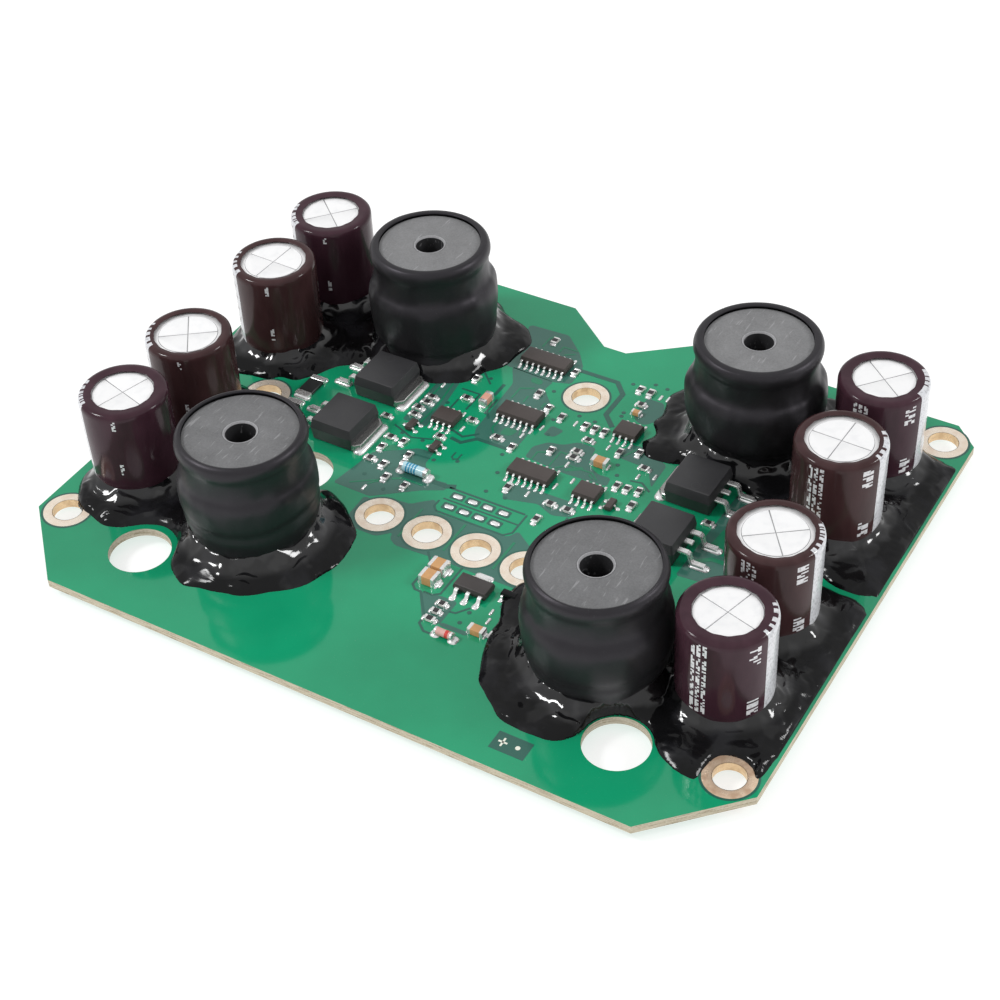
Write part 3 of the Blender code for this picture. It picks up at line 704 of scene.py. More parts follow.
class Shape:
    """A mesh being built in board millimetres."""

    def __init__(self) -> None:
        """Start empty."""
        self.mesh = bmesh.new()

    def loft(
        self, rings: Sequence[Sequence[Place]], finish: int = 0, caps: bool = True
    ) -> list[bmesh.types.BMVert]:
        """Join rings of points by walls.

        Args:
            rings: Rings with the same number of points.
            finish: The number of the finish of its faces.
            caps: Whether the first and last rings are closed with a face. If not, they are joined.

        Returns:
            The new vertices.
        """
        made = [[self.mesh.verts.new(point) for point in ring] for ring in rings]
        faces = []
        pairs = list(zip(made, made[1:]))
        if caps:
            faces += [self.mesh.faces.new(made[0]), self.mesh.faces.new(made[-1])]
        else:
            pairs.append((made[-1], made[0]))
        for first, second in pairs:
            for index in range(len(first)):
                after = (index + 1) % len(first)
                faces.append(self.mesh.faces.new((first[index], first[after], second[after], second[index])))
        for face in faces:
            face.material_index = finish
        return [vert for ring in made for vert in ring]

    def moved(self, verts: Iterable[bmesh.types.BMVert], place: Place, turn: float = 0.0) -> None:
        """Turn new vertices about Z, then take them to their place."""
        matrix = Matrix.Translation(place) @ Matrix.Rotation(turn, 4, "Z")
        bmesh.ops.transform(self.mesh, matrix=matrix, verts=list(verts))

    def turned(
        self,
        profile: Sequence[Flat],
        place: Place,
        steps: int = 64,
        finish: int = 0,
        wobble: Callable[[float, float, float], Flat] | None = None,
    ) -> list[bmesh.types.BMVert]:
        """A solid turned about Z.

        Args:
            profile: A closed loop of (radius, height), or an open one whose ends are on the axis.
            place: Where its axis and height 0 are.
            steps: The facets around it.
            finish: The number of the finish of its faces.
            wobble: What moves a (turn, radius, height) off the true shape.

        Returns:
            The new vertices.
        """
        solid = profile[0][0] == 0.0
        body = profile[1:-1] if solid else profile
        rings = []
        for radius, height in body:
            ring = []
            for step in range(steps):
                turn = 2 * math.pi * step / steps
                far, high = wobble(turn, radius, height) if wobble else (radius, height)
                ring.append((far * math.cos(turn), far * math.sin(turn), high))
            rings.append(ring)
        made = self.loft(rings, finish, caps=solid)
        self.moved(made, place)
        return made

    def case(
        self, place: Place, size: Flat, levels: Sequence[Flat], corner: float = 0.2, turn: float = 0.0,
        finish: int = 0
    ) -> list[bmesh.types.BMVert]:
        """A moulded case with rounded edges.

        Args:
            place: Its middle, at height 0.
            size: Its length and width where its inset is 0.
            levels: (height, inset) of each ring, from the bottom up.
            corner: The radius of its upright edges.
            turn: Its turn about Z.
            finish: The number of the finish of its faces.

        Returns:
            The new vertices.
        """
        rings = []
        for height, inset in levels:
            outline = rounded(size[0] - 2 * inset, size[1] - 2 * inset, max(0.02, corner - inset / 2))
            rings.append([(x, y, height) for x, y in outline])
        made = self.loft(rings, finish)
        self.moved(made, place, turn)
        return made

    def mound(self, place: Place, size: Flat, height: float, turn: float = 0.0, finish: int = 0) -> None:
        """A drop of solder that wets a rounded rectangle.

        Args:
            place: Its middle, at height 0.
            size: Its length and width.
            height: Its height.
            turn: Its turn about Z.
            finish: The number of the finish of its faces.
        """
        length, width = size
        levels = []
        for step in range(4):
            rise = math.pi / 2 * step / 3.4
            levels.append((height * math.sin(rise), min(length, width) / 2 * (1 - math.cos(rise))))
        self.case(place, size, [(-0.05, 0.0)] + levels, min(length, width) * 0.4, turn, finish)

    def strip(
        self, path: Sequence[Flat], thickness: float, width: float, place: Place = ORIGIN, turn: float = 0.0
    ) -> list[bmesh.types.BMVert]:
        """A flat strip with softened edges, bent along a path.

        Args:
            path: Points in X and Z of its own.
            thickness: Its thickness.
            width: Its width along Y.
            place: Where the path's origin goes.
            turn: Its turn about Z.

        Returns:
            The new vertices.
        """
        points = [Vector(point) for point in path]
        outline = rounded(width, thickness, thickness * 0.22, 1)
        rings = [[(here.x + side.x * v, u, here.y + side.y * v) for u, v in outline]
                 for here, side in zip(points, sideways(points))]
        made = self.loft(rings)
        self.moved(made, place, turn)
        return made

    def plate(self, outline: Sequence[Flat], low: float, high: float, finish: int = 0) -> None:
        """A flat plate on an outline."""
        self.loft([[(x, y, low) for x, y in outline], [(x, y, high) for x, y in outline]], finish)

    def finished(self, name: str) -> bpy.types.Mesh:
        """The shape as a mesh, with its faces outwards."""
        bmesh.ops.recalc_face_normals(self.mesh, faces=self.mesh.faces)
        mesh = bpy.data.meshes.new(name)
        self.mesh.to_mesh(mesh)
        self.mesh.free()
        return mesh


def publish(
    shape: Shape | bpy.types.Mesh,
    name: str,
    finishes: Sequence[bpy.types.Material],
    replaces: Sequence[str] = (),
    crease: float = 35.0,
) -> bpy.types.Object:
    """Take a shape from board millimetres to the frame as a piece that rides on the board.

    Args:
        shape: The shape or mesh.
        name: The piece's name.
        finishes: Its materials, in the order of the finish numbers. None leaves those that it has.
        replaces: The CAD nodes that it stands for.
        crease: The angle past which an edge stays sharp, in degrees.

    Returns:
        The piece.
    """
    mesh = shape.finished(name) if isinstance(shape, Shape) else shape
    origin = Vector((BOARD_LOW.x, BOARD_LOW.y, BOARD_HIGH.z))
    mesh.transform(Matrix.Translation(origin) @ Matrix.Scale(MM, 4))
    mesh.shade_smooth()
    mesh.set_sharp_from_angle(angle=math.radians(crease))
    for finish in finishes:
        mesh.materials.append(finish)
    piece = bpy.data.objects.new(name, mesh)
    bpy.context.scene.collection.objects.link(piece)
    if replaces:
        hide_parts(*replaces)
    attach(piece, BODY)
    log.info("%s: %d faces", name, len(mesh.polygons))
    return piece


def holed_plate(
    name: str, outline: Sequence[Flat], holes: Sequence[Sequence[Flat]], low: float, high: float
) -> bpy.types.Mesh:
    """A flat plate with holes.

    Args:
        name: The mesh's name.
        outline: The plate's outline.
        holes: The outline of each hole.
        low: The height of its underside.
        high: The height of its top.

    Returns:
        A mesh in board millimetres, closed.
    """
    curve = bpy.data.curves.new(name, "CURVE")
    curve.dimensions = "2D"
    curve.fill_mode = "BOTH"
    curve.extrude = (high - low) / 2
    for points in (outline, *holes):
        spline = curve.splines.new("POLY")
        spline.points.add(len(points) - 1)
        for point, (x, y) in zip(spline.points, points):
            point.co = (x, y, 0.0, 1.0)
        spline.use_cyclic_u = True
    holder = bpy.data.objects.new(name, curve)
    bpy.context.scene.collection.objects.link(holder)
    graph = bpy.context.evaluated_depsgraph_get()
    mesh = bpy.data.meshes.new_from_object(holder.evaluated_get(graph))
    bpy.data.objects.remove(holder)
    bpy.data.curves.remove(curve)
    mesh.materials.clear()
    mesh.transform(Matrix.Translation((0.0, 0.0, (high + low) / 2)))
    shape = bmesh.new()
    shape.from_mesh(mesh)
    bmesh.ops.remove_doubles(shape, verts=shape.verts, dist=1e-4)
    bmesh.ops.recalc_face_normals(shape, faces=shape.faces)
    shape.to_mesh(mesh)
    shape.free()
    return mesh


# What repeats
class Tree:
    """A Geometry Nodes tree built in the script, with its named inputs."""

    def __init__(self, name: str, inputs: dict[str, str]) -> None:
        """Start a tree.

        Args:
            name: The tree's name.
            inputs: The kind of socket of each input, by its name, after the geometry.
        """
        self.tree = bpy.data.node_groups.new(name, "GeometryNodeTree")
        socket = self.tree.interface.new_socket
        for way in ("OUTPUT", "INPUT"):
            socket("Geometry", in_out=way, socket_type="NodeSocketGeometry")
        self.ids = {label: socket(label, in_out="INPUT", socket_type="NodeSocket" + kind).identifier
                    for label, kind in inputs.items()}
        self.given = self.tree.nodes.new("NodeGroupInput").outputs

    def node(
        self, kind: str, settings: dict | None = None, inputs: dict | None = None
    ) -> bpy.types.NodeOutputs:
        """Add a node and give its outputs."""
        return add_node(self.tree, kind, settings, inputs).outputs

    def ended(self, instances: bpy.types.NodeSocket) -> "Tree":
        """End in Realize Instances and Set Material."""
        real = self.node("GeometryNodeRealizeInstances", None, {"Geometry": instances})
        inputs = {"Geometry": real["Geometry"], "Material": self.given["Finish"]}
        painted = self.node("GeometryNodeSetMaterial", None, inputs)
        self.node("NodeGroupOutput", None, {"Geometry": painted["Geometry"]})
        return self

    def grown(self, mesh: bpy.types.Mesh, values: dict) -> bpy.types.Mesh:
        """Run the tree on a mesh.

        Args:
            mesh: What the tree starts from.
            values: A value for each named input.

        Returns:
            The result as a plain mesh.
        """
        holder = bpy.data.objects.new(mesh.name, mesh)
        bpy.context.scene.collection.objects.link(holder)
        modifier = holder.modifiers.new(self.tree.name, "NODES")
        modifier.node_group = self.tree
        for label, value in values.items():
            modifier[self.ids[label]] = value
        graph = bpy.context.evaluated_depsgraph_get()
        result = bpy.data.meshes.new_from_object(holder.evaluated_get(graph))
        holder.modifiers.remove(modifier)
        bpy.data.objects.remove(holder)
        return result


def placer_tree() -> Tree:
    """A tree that puts a copy of one piece at each point, turned by the point's own turn."""
    inputs = {"Piece": "Object", "Finish": "Material", "Slack": "Float", "Seed": "Int"}
    tree = Tree("placer", inputs)
    given = tree.given
    piece = tree.node("GeometryNodeObjectInfo", {"transform_space": "ORIGINAL"}, {"Object": given["Piece"]})
    turn = tree.node("GeometryNodeInputNamedAttribute", {"data_type": "FLOAT"}, {"Name": "turn"})
    size = tree.node("GeometryNodeInputNamedAttribute", {"data_type": "FLOAT_VECTOR"}, {"Name": "size"})
    back = tree.node("ShaderNodeMath", {"operation": "MULTIPLY"}, {0: given["Slack"], 1: -1.0})
    inputs = {2: back[0], 3: given["Slack"], 8: given["Seed"]}
    chance = tree.node("FunctionNodeRandomValue", {"data_type": "FLOAT"}, inputs)
    whole = tree.node("ShaderNodeMath", {"operation": "ADD"}, {0: turn["Attribute"], 1: chance[1]})
    spin = tree.node("ShaderNodeCombineXYZ", None, {"Z": whole[0]})
    places = tree.node("GeometryNodeMeshToPoints", None, {"Mesh": given["Geometry"]})
    inputs = {"Points": places[0], "Instance": piece["Geometry"], "Rotation": spin[0]}
    inputs["Scale"] = size["Attribute"]
    return tree.ended(tree.node("GeometryNodeInstanceOnPoints", None, inputs)["Instances"])


def lead_row_tree() -> Tree:
    """A tree that sets two facing rows of one lead at a pitch along X."""
    inputs = {"Lead": "Object", "Finish": "Material", "Leads": "Int"}
    inputs |= dict.fromkeys(("Pitch", "First", "Middle", "Turn"), "Vector")
    tree = Tree("lead_rows", inputs)
    given = tree.given
    lead = tree.node("GeometryNodeObjectInfo", {"transform_space": "ORIGINAL"}, {"Object": given["Lead"]})
    inputs = {"Count": given["Leads"], "Start Location": given["First"], "Offset": given["Pitch"]}
    line = tree.node("GeometryNodeMeshLine", {"mode": "OFFSET"}, inputs)
    places = tree.node("GeometryNodeMeshToPoints", None, {"Mesh": line["Mesh"]})
    row = tree.node("GeometryNodeInstanceOnPoints", None, {"Points": places[0], "Instance": lead["Geometry"]})
    inputs = {"Geometry": row["Instances"], "Rotation": (0.0, 0.0, math.pi)}
    facing = tree.node("GeometryNodeTransform", None, inputs)
    both = add_node(tree.tree, "GeometryNodeJoinGeometry")
    tree.tree.links.new(row["Instances"], both.inputs[0])
    tree.tree.links.new(facing["Geometry"], both.inputs[0])
    inputs = {"Geometry": both.outputs[0], "Translation": given["Middle"], "Rotation": given["Turn"]}
    placed = tree.node("GeometryNodeTransform", None, inputs)
    return tree.ended(placed["Geometry"])


@dataclass(frozen=True)
class Spot:
    """Where one small piece lies: its place on the board, its direction, and its size in shares."""

    x: float
    y: float
    along: Along = Along.X
    size: Place = (1.0, 1.0, 1.0)


class Repeats:
    """Places copies of small shapes on the board with Geometry Nodes."""

    SLACK = 0.035
    SEED = 7

    def __init__(self) -> None:
        """Build both trees."""
        self.placer = placer_tree()
        self.rows = lead_row_tree()

    def placed(
        self, name: str, shape: Shape, spots: Sequence[Spot], finish: bpy.types.Material, slot: str
    ) -> None:
        """Publish one piece that holds a copy of a shape on each spot.

        Args:
            name: The piece's name.
            shape: What is copied, around the origin.
            spots: Where the copies go.
            finish: Their finish.
            slot: The record's material slot. Not used.
        """
        points = bpy.data.meshes.new(name + "_places")
        points.from_pydata([(spot.x, spot.y, 0.0) for spot in spots], [], [])
        turns = points.attributes.new("turn", "FLOAT", "POINT")
        sizes = points.attributes.new("size", "FLOAT_VECTOR", "POINT")
        for index, spot in enumerate(spots):
            turns.data[index].value = spot.along.value
            sizes.data[index].vector = spot.size
        model = self._model(name, shape)
        values = {"Piece": model, "Finish": finish, "Slack": self.SLACK, "Seed": self.SEED}
        mesh = self.placer.grown(points, values)
        bpy.data.objects.remove(model)
        publish(mesh, name, ())

    def lead_rows(
        self, name: str, shape: Shape, count: int, pitch: float, middle: Flat, finish: bpy.types.Material,
        along: Along
    ) -> None:
        """Publish the two facing rows of leads of one chip.

        Args:
            name: The piece's name.
            shape: One lead, reaching along -Y from the middle line of the chip.
            count: Leads in each row.
            pitch: The distance between leads.
            middle: The chip's middle.
            finish: The leads' finish.
            along: The direction of the rows.
        """
        model = self._model(name, shape)
        values = {
            "Lead": model,
            "Finish": finish,
            "Leads": count,
            "Pitch": (pitch, 0.0, 0.0),
            "First": (-pitch * (count - 1) / 2, 0.0, 0.0),
            "Middle": (*middle, 0.0),
            "Turn": (0.0, 0.0, along.value),
        }
        mesh = self.rows.grown(bpy.data.meshes.new(name + "_start"), values)
        bpy.data.objects.remove(model)
        publish(mesh, name, ())

    @staticmethod
    def _model(name: str, shape: Shape) -> bpy.types.Object:
        """The shape as an object that a tree can copy."""
        return bpy.data.objects.new(name + "_model", shape.finished(name + "_model"))


# Sub-assemblies
def middle_of(node: str) -> Place:
    """The middle of a CAD node seen from above, at its lowest point.

    Args:
        node: The node's name.

    Returns:
        The place, in board millimetres.
    """
    low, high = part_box(node)
    middle = (low + high) / 2
    return ((middle.x - BOARD_LOW.x) / MM, (middle.y - BOARD_LOW.y) / MM, (low.z - BOARD_HIGH.z) / MM)


def size_of(node: str) -> Vector:
    """The size of a CAD node in millimetres."""
    low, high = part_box(node)
    return (high - low) / MM


@dataclass
class Assembly:
    """A sub-assembly of the board, with the finishes and the placer that all of them share."""

    palette: Palette
    repeats: Repeats


@dataclass
class Board(Assembly):
    """The bare board: mask, tracks, drilled and plated holes."""

    front_chamfer: float = 14.2
    back_chamfer: float = 4.6
    notch_middle: float = 70.7
    notch_mouth: float = 27.0
    notch_floor: float = 4.8
    notch_depth: float = 8.6
    bore: float = 5.6
    ring: float = 8.8
    ring_step: float = 0.05
    plain_bore: float = 11.2
    lead_bore: float = 1.1
    capacitor_pitch: float = 7.5
    layer: float = 0.012
    rings: tuple[Flat, ...] = pairs(
        5.4, 15.9, 137, 15.9, 137, 106.2, 5.4, 106.2, 56.2, 41.3, 66.2, 41.3, 76.2, 41.3, 86.2, 41.3, 72.8,
        87.8, 17.9, 60.4, 124.5, 60.4
    )
    stained: tuple[int, ...] = (1,)
    plain_holes: tuple[Flat, ...] = pairs(
        23.8, 13.6, 118.6, 13.6, 37.1, 44.8, 105.3, 44.8
    )

    def outline(self) -> list[Flat]:
        """The outline with chamfers and the notch, anticlockwise from the front left."""
        long, deep = BOARD_LENGTH, BOARD_DEPTH
        mouth, floor = self.notch_mouth / 2, self.notch_floor / 2
        return [
            (self.front_chamfer, 0.0),
            (long - self.front_chamfer, 0.0),
            (long, self.front_chamfer),
            (long, deep - self.back_chamfer),
            (long - self.back_chamfer, deep),
            (self.notch_middle + mouth, deep),
            (self.notch_middle + floor, deep - self.notch_depth),
            (self.notch_middle - floor, deep - self.notch_depth),
            (self.notch_middle - mouth, deep),
            (self.back_chamfer, deep),
            (0.0, deep - self.back_chamfer),
            (0.0, self.front_chamfer),
        ]

    def lead_places(self) -> list[Flat]:
        """Where the leads of the chokes and capacitors go through the board."""
        reaches = {"header": self.capacitor_pitch / 2, "winding": Choke.lead_reach}
        places = []
        for node in frame["nodes"]:
            reach = reaches.get(node.rsplit("_", 1)[-1])
            if reach:
                x, y, _ = middle_of(node)
                places += [(x, y - reach), (x, y + reach)]
        return places

    def build(self) -> None:
        """Make the slab with its masked faces, cut edges and hole walls."""
        holes = [circle(place, self.bore / 2) for place in self.rings]
        holes += [circle(place, self.plain_bore / 2, 72) for place in self.plain_holes]
        holes += [circle(place, self.lead_bore / 2, 12) for place in self.lead_places()]
        mesh = holed_plate("board_slab", self.outline(), holes, -BOARD_THICKNESS, 0.0)
        plain = [Vector(place) for place in self.plain_holes]
        for face in mesh.polygons:
            if abs(face.normal.z) > 0.5:
                continue
            face.material_index = 1
            if any((face.center.to_2d() - place).length < self.plain_bore / 2 + 0.2 for place in plain):
                face.material_index = 2
        finishes = (self.palette.mask, self.palette.laminate, self.palette.hole_wall)
        publish(mesh, "board_slab", finishes, ("circuit_board",), 20.0)
        self._rings()
        self._solder_side()

    def _rings(self) -> None:
        """Make the plated rings and bores, and the gap in the copper around each."""
        rings, gaps = Shape(), Shape()
        out, wall, step = self.ring / 2, self.bore / 2, self.ring_step
        under = -BOARD_THICKNESS
        for index, (x, y) in enumerate(self.rings):
            stained = 2 if index in self.stained else 0
            for low, high in ((0.0, step), (under - step, under)):
                profile = [(wall - 0.05, low), (out, low), (out, high - 0.02), (out - 0.1, high),
                           (wall - 0.05, high)]
                rings.turned(profile, (x, y, 0.0), 72, stained)
            rings.turned(rectangle(wall - 0.06, wall + 0.02, under - step, step), (x, y, 0.0), 72, 1)
            gaps.turned(rectangle(out - 0.1, out + 0.42, 0.0, self.layer * 1.5), (x, y, 0.0), 72)
        finishes = (self.palette.ring, self.palette.bore, self.palette.stained_ring)
        publish(rings, "screw_rings", finishes)
        publish(gaps, "ring_gaps", (self.palette.gap,))

    def _solder_side(self) -> None:
        """Make the solder cones around the cropped leads under the board."""
        cones = Shape()
        base = -BOARD_THICKNESS
        for x, y in self.lead_places():
            profile = [(0.0, base + 0.05), (1.35, base + 0.05), (1.3, base - 0.12), (0.75, base - 0.55),
                       (0.52, base - 1.1), (0.35, base - 1.25), (0.0, base - 1.3)]
            cones.turned(profile, (x, y, 0.0), 20)
        publish(cones, "solder_cones", (self.palette.solder,))


@dataclass
class Copper(Assembly):
    """The copper pattern that shows through the mask: bare zones, gaps, tracks and vias."""

    layer: float = 0.012
    zones: tuple[tuple[Flat, ...], ...] = (
        pairs(52, 103, 60.5, 103.4, 65.2, 99.2, 67.9, 95.6, 68.3, 90, 64.9, 88.9, 53, 89.4),
        pairs(55.6, 89.5, 65, 89, 64.6, 86.2, 68.3, 82.4, 68.6, 68, 60, 67.6, 59, 70, 58.3, 85),
        pairs(83.3, 92.8, 86.8, 92.8, 88, 90.6, 88, 87.4, 86.4, 85.4, 84.6, 85.6, 83.3, 87),
        pairs(71.2, 67.2, 71, 70.4, 73, 72.8, 75.8, 73.4, 78, 75.4, 81.6, 75.4, 82.6, 70.6, 85.6, 69, 88,
              69.2, 88.4, 66.8, 80.2, 66.4),
        pairs(43.8, 44.8, 51.8, 44.6, 59.4, 50.4, 63.2, 52.4, 62.6, 54.2, 59.8, 53.9, 56, 56.8, 55.8, 60.4,
              52.6, 60.2, 49.2, 57.8, 45.6, 55.4),
        pairs(51, 44.2, 51.2, 38.8, 53.4, 36.2, 58.6, 36.2, 60.9, 38.4, 61.2, 36.9, 63, 35.8, 70, 36.2, 72.6,
              36.3, 81, 36.2, 90.8, 36.2, 90.8, 45.9, 84, 46.6, 80.4, 49, 79.4, 46.9, 64.9, 46.5, 62.9, 49.4,
              60.8, 47.6, 59.6, 46.3, 56, 46, 52.6, 44.2),
        pairs(71, 74.2, 71.2, 77.4, 74, 77, 73.2, 74.6),
        pairs(85.8, 75, 92.8, 74.6, 95.6, 70.2, 95.4, 76.8, 90.4, 79.8, 86.8, 79.2),
        pairs(73.4, 55.2, 72, 58.6, 74.4, 60, 86.2, 60.2, 87, 56.6, 83.4, 55.4, 79.8, 56.9),
        pairs(45.2, 66, 50.4, 66, 50.2, 72.4, 48.8, 82.6, 45.2, 82.4),
        pairs(109.6, 52, 117.4, 52.6, 117, 76.4, 110.2, 76.6),
        pairs(76.8, 28.8, 73, 28, 76.9, 22.6, 80.2, 22.8, 80.2, 28.8),
        pairs(80.2, 23.5, 85.6, 23.5, 85.6, 22.6, 80.2, 22.6),
    )
    islands: tuple[tuple[Flat, ...], ...] = (
        pairs(60.6, 88.6, 63.2, 88.4, 63.4, 87, 61, 87),
        pairs(63.6, 70.8, 65.8, 71, 66.4, 73, 63.8, 73),
        pairs(79.7, 66.9, 82.6, 68.9, 82, 69.6, 79.2, 67.6),
        pairs(47.2, 58.6, 49.4, 59.2, 49.3, 57.8, 47.2, 56.6),
        pairs(111.4, 60.4, 116.2, 59.6, 116.4, 66.8, 112, 66.4),
    )
    gaps: tuple[tuple[tuple[Flat, ...], float], ...] = (
        (pairs(67.8, 94.5, 76, 94.5, 78.6, 91.7, 78.6, 84.9, 81.4, 82.1), 1),
        (pairs(63.5, 53.4, 64.4, 53.4, 79.2, 53.4), 0.45),
        (pairs(64, 50.4, 79.4, 50.4), 0.35),
        (pairs(64.6, 46.9, 78.4, 46.9, 79.6, 48.2, 79.6, 53.4), 0.4),
        (pairs(63.6, 49.6, 63.6, 47.8, 64.6, 46.9), 0.4),
        (pairs(59.8, 53.4, 62.8, 53.4, 64.4, 54.1), 1.1),
        (pairs(69, 37.2, 71, 34.9, 71, 29, 72, 28.1, 73.2, 28.1, 77, 23.2, 77, 21.6, 78.6, 20.3, 80.4, 20.3),
               0.45),
        (pairs(76.5, 37, 76.5, 29.2, 75.4, 28.3, 73.6, 28.3), 0.4),
        (pairs(68.2, 67.6, 60.8, 67.5, 58.6, 65.2, 56.2, 65.6), 0.8),
        (pairs(60.4, 68.9, 58, 66.8, 55.4, 67.6, 53.6, 66.2), 0.5),
        (pairs(57, 84, 57, 80.2), 0.7),
        (pairs(59.6, 73.6, 58.2, 75.4, 58.2, 79.4), 0.5),
        (pairs(50.6, 57, 53.2, 58.4, 56, 58.6), 0.4),
        (pairs(86.3, 53.6, 86.3, 56.2), 0.4),
        (pairs(51.5, 76, 51.5, 72.4), 0.4),
        (pairs(50.4, 79.2, 54.4, 79.2, 54.4, 74), 0.4),
        (pairs(46.2, 86.2, 51, 86.2, 54.6, 82.8), 0.4),
        (pairs(44.8, 64, 49.6, 62.2, 53.6, 63.6), 0.4),
        (pairs(82.8, 28.6, 81.2, 26.4, 80, 26.2), 0.4),
        (pairs(95.9, 69, 93.6, 70.6, 91.4, 70.2), 0.4),
    )
    tracks: tuple[tuple[tuple[Flat, ...], float], ...] = (
        (pairs(57.6, 97.8, 57.6, 101, 58.6, 102), 0.35),
        (pairs(61.4, 97.8, 61.4, 99.6, 64.6, 99.6), 0.35),
        (pairs(62.7, 97.4, 64.6, 98.6), 0.35),
        (pairs(60.3, 81, 60.3, 84.4, 62.8, 85.6), 0.35),
        (pairs(62.9, 81, 62.9, 83), 0.35),
        (pairs(66.8, 81, 66.8, 82.6), 0.35),
        (pairs(61.6, 73.8, 61.6, 71.6, 62.8, 70.2), 0.35),
        (pairs(66.7, 73.8, 67.2, 72), 0.35),
        (pairs(72.6, 67, 72.6, 69.4, 74.2, 70.2), 0.35),
        (pairs(76.4, 67, 76.4, 71.4, 78.2, 71.4), 0.35),
        (pairs(77.7, 67, 79.4, 68.8, 84.4, 68.8, 86, 67.4), 0.35),
        (pairs(85.2, 67.4, 84, 68.2), 0.35),
        (pairs(52.8, 50.6, 54.6, 51.6, 58.8, 51.6), 0.5),
        (pairs(46.4, 46.2, 52, 50), 0.35),
        (pairs(49.6, 47.4, 51.2, 49.2), 0.35),
        (pairs(62.2, 46.2, 62.2, 38), 0.4),
        (pairs(71.2, 46.2, 71.2, 38.6), 0.5),
        (pairs(81.2, 46.2, 81.2, 38.6), 0.5),
        (pairs(46.4, 67.2, 46.4, 81), 0.35),
        (pairs(48.8, 66.8, 49, 72.6, 48, 80.4), 0.35),
        (pairs(87.2, 75.6, 88.4, 78.4, 90.6, 78), 0.35),
        (pairs(110.4, 56, 113.4, 58.4, 116.4, 58.4), 0.9),
        (pairs(110.8, 70.4, 114.2, 69.2, 116.2, 71.4), 0.9),
    )
    vias: tuple[Flat, ...] = pairs(
        69, 61, 71.8, 74.7, 81.3, 86.9, 81.4, 85.8, 83.2, 27.6, 58.3, 74.9, 66.5, 86.5, 78.9, 95.4, 85.4, 97,
        82.8, 97.2, 60.9, 60.3, 56.8, 58.6, 70.6, 79, 74.4, 82.2, 77.8, 82, 88.6, 70.4, 87.4, 73, 75.6, 64.8,
        67.2, 65.8, 69.8, 55.6, 73.8, 55.6, 47.4, 62.6, 52, 62.4, 50.2, 74.2, 53.8, 84.4, 47.4, 84.4, 113.2,
        55.2, 114.6, 63, 114.6, 68, 90.8, 56.4, 79.2, 31, 87.4, 31.4, 83, 24.8, 53, 47.4, 47.6, 49.4
    )
    pad_columns: tuple[float, ...] = (66.1, 69.25, 72.4, 75.65)
    pad_rows: tuple[float, ...] = (48.85, 51.9)
    marker: Flat = (104.3, 5.4)

    def build(self) -> None:
        """Make each layer a little above the one under it."""
        step = self.layer
        islands, gaps, tracks = Shape(), Shape(), Shape()
        for index, outline in enumerate(self.zones):
            name = f"bare_zone_{index + 1}"
            bores = [circle(place, 4.1) for place in Board.rings if self._holds(outline, place)]
            mesh = holed_plate(name, self._softened(outline), bores, -step, step)
            publish(mesh, name, (self.palette.bare_mask,), (), 20.0)
        for outline in self.islands:
            islands.plate(self._softened(outline), 0.0, 2 * step)
        for line, width in self.gaps:
            gaps.plate(widened(line, width), 0.0, 2.4 * step)
        for line, width in self.tracks:
            tracks.plate(widened(line, width), 0.0, 3.5 * step)
        publish(islands, "copper_islands", (self.palette.track,))
        publish(gaps, "copper_gaps", (self.palette.gap,))
        publish(tracks, "tracks", (self.palette.track,))
        self._vias()
        self._pads()
        self._marker()

    @staticmethod
    def _holds(outline: Sequence[Flat], place: Flat) -> bool:
        """Whether a place lies inside an outline.

        Args:
            outline: The outline.
            place: The place.

        Returns:
            True inside.
        """
        inside = False
        for (ax, ay), (bx, by) in zip(outline, (*outline[1:], outline[0])):
            if (ay > place[1]) != (by > place[1]) and place[0] < ax + (place[1] - ay) / (by - ay) * (bx - ax):
                inside = not inside
        return inside

    @staticmethod
    def _softened(outline: Sequence[Flat]) -> list[Flat]:
        """Cut each corner of an outline back by a short chamfer.

        Args:
            outline: The sharp outline.

        Returns:
            The softened one.
        """
        points = [Vector(point) for point in outline]
        soft = []
        for index, here in enumerate(points):
            for other in (points[index - 1], points[(index + 1) % len(points)]):
                reach = min(0.4, (other - here).length / 3)
                soft.append(tuple(here + (other - here).normalized() * reach))
        return soft

    def _vias(self) -> None:
        """Make the tented vias: a low ring that dips in the middle."""
        via = Shape()
        profile = [(0.0, -0.02), (0.42, -0.02), (0.42, 0.03), (0.30, 0.05), (0.16, 0.035), (0.0, 0.02)]
        via.turned(profile, ORIGIN, 16)
        self.repeats.placed("vias", via, [Spot(x, y) for x, y in self.vias], self.palette.gap, "solder_mask")

    def _pads(self) -> None:
        """Make the eight tinned pads, with the gap in the copper around each."""
        spots = [Spot(x, y) for y in self.pad_rows for x in self.pad_columns]
        pad, moat = Shape(), Shape()
        pad.mound(ORIGIN, (1.9, 1.05), 0.22)
        moat.case(ORIGIN, (2.7, 1.75), [(0.0, 0.0), (2.6 * self.layer, 0.0)], 0.3)
        self.repeats.placed("tinned_pads", pad, spots, self.palette.solder, "tinned_metal")
        self.repeats.placed("pad_gaps", moat, spots, self.palette.gap, "solder_mask")

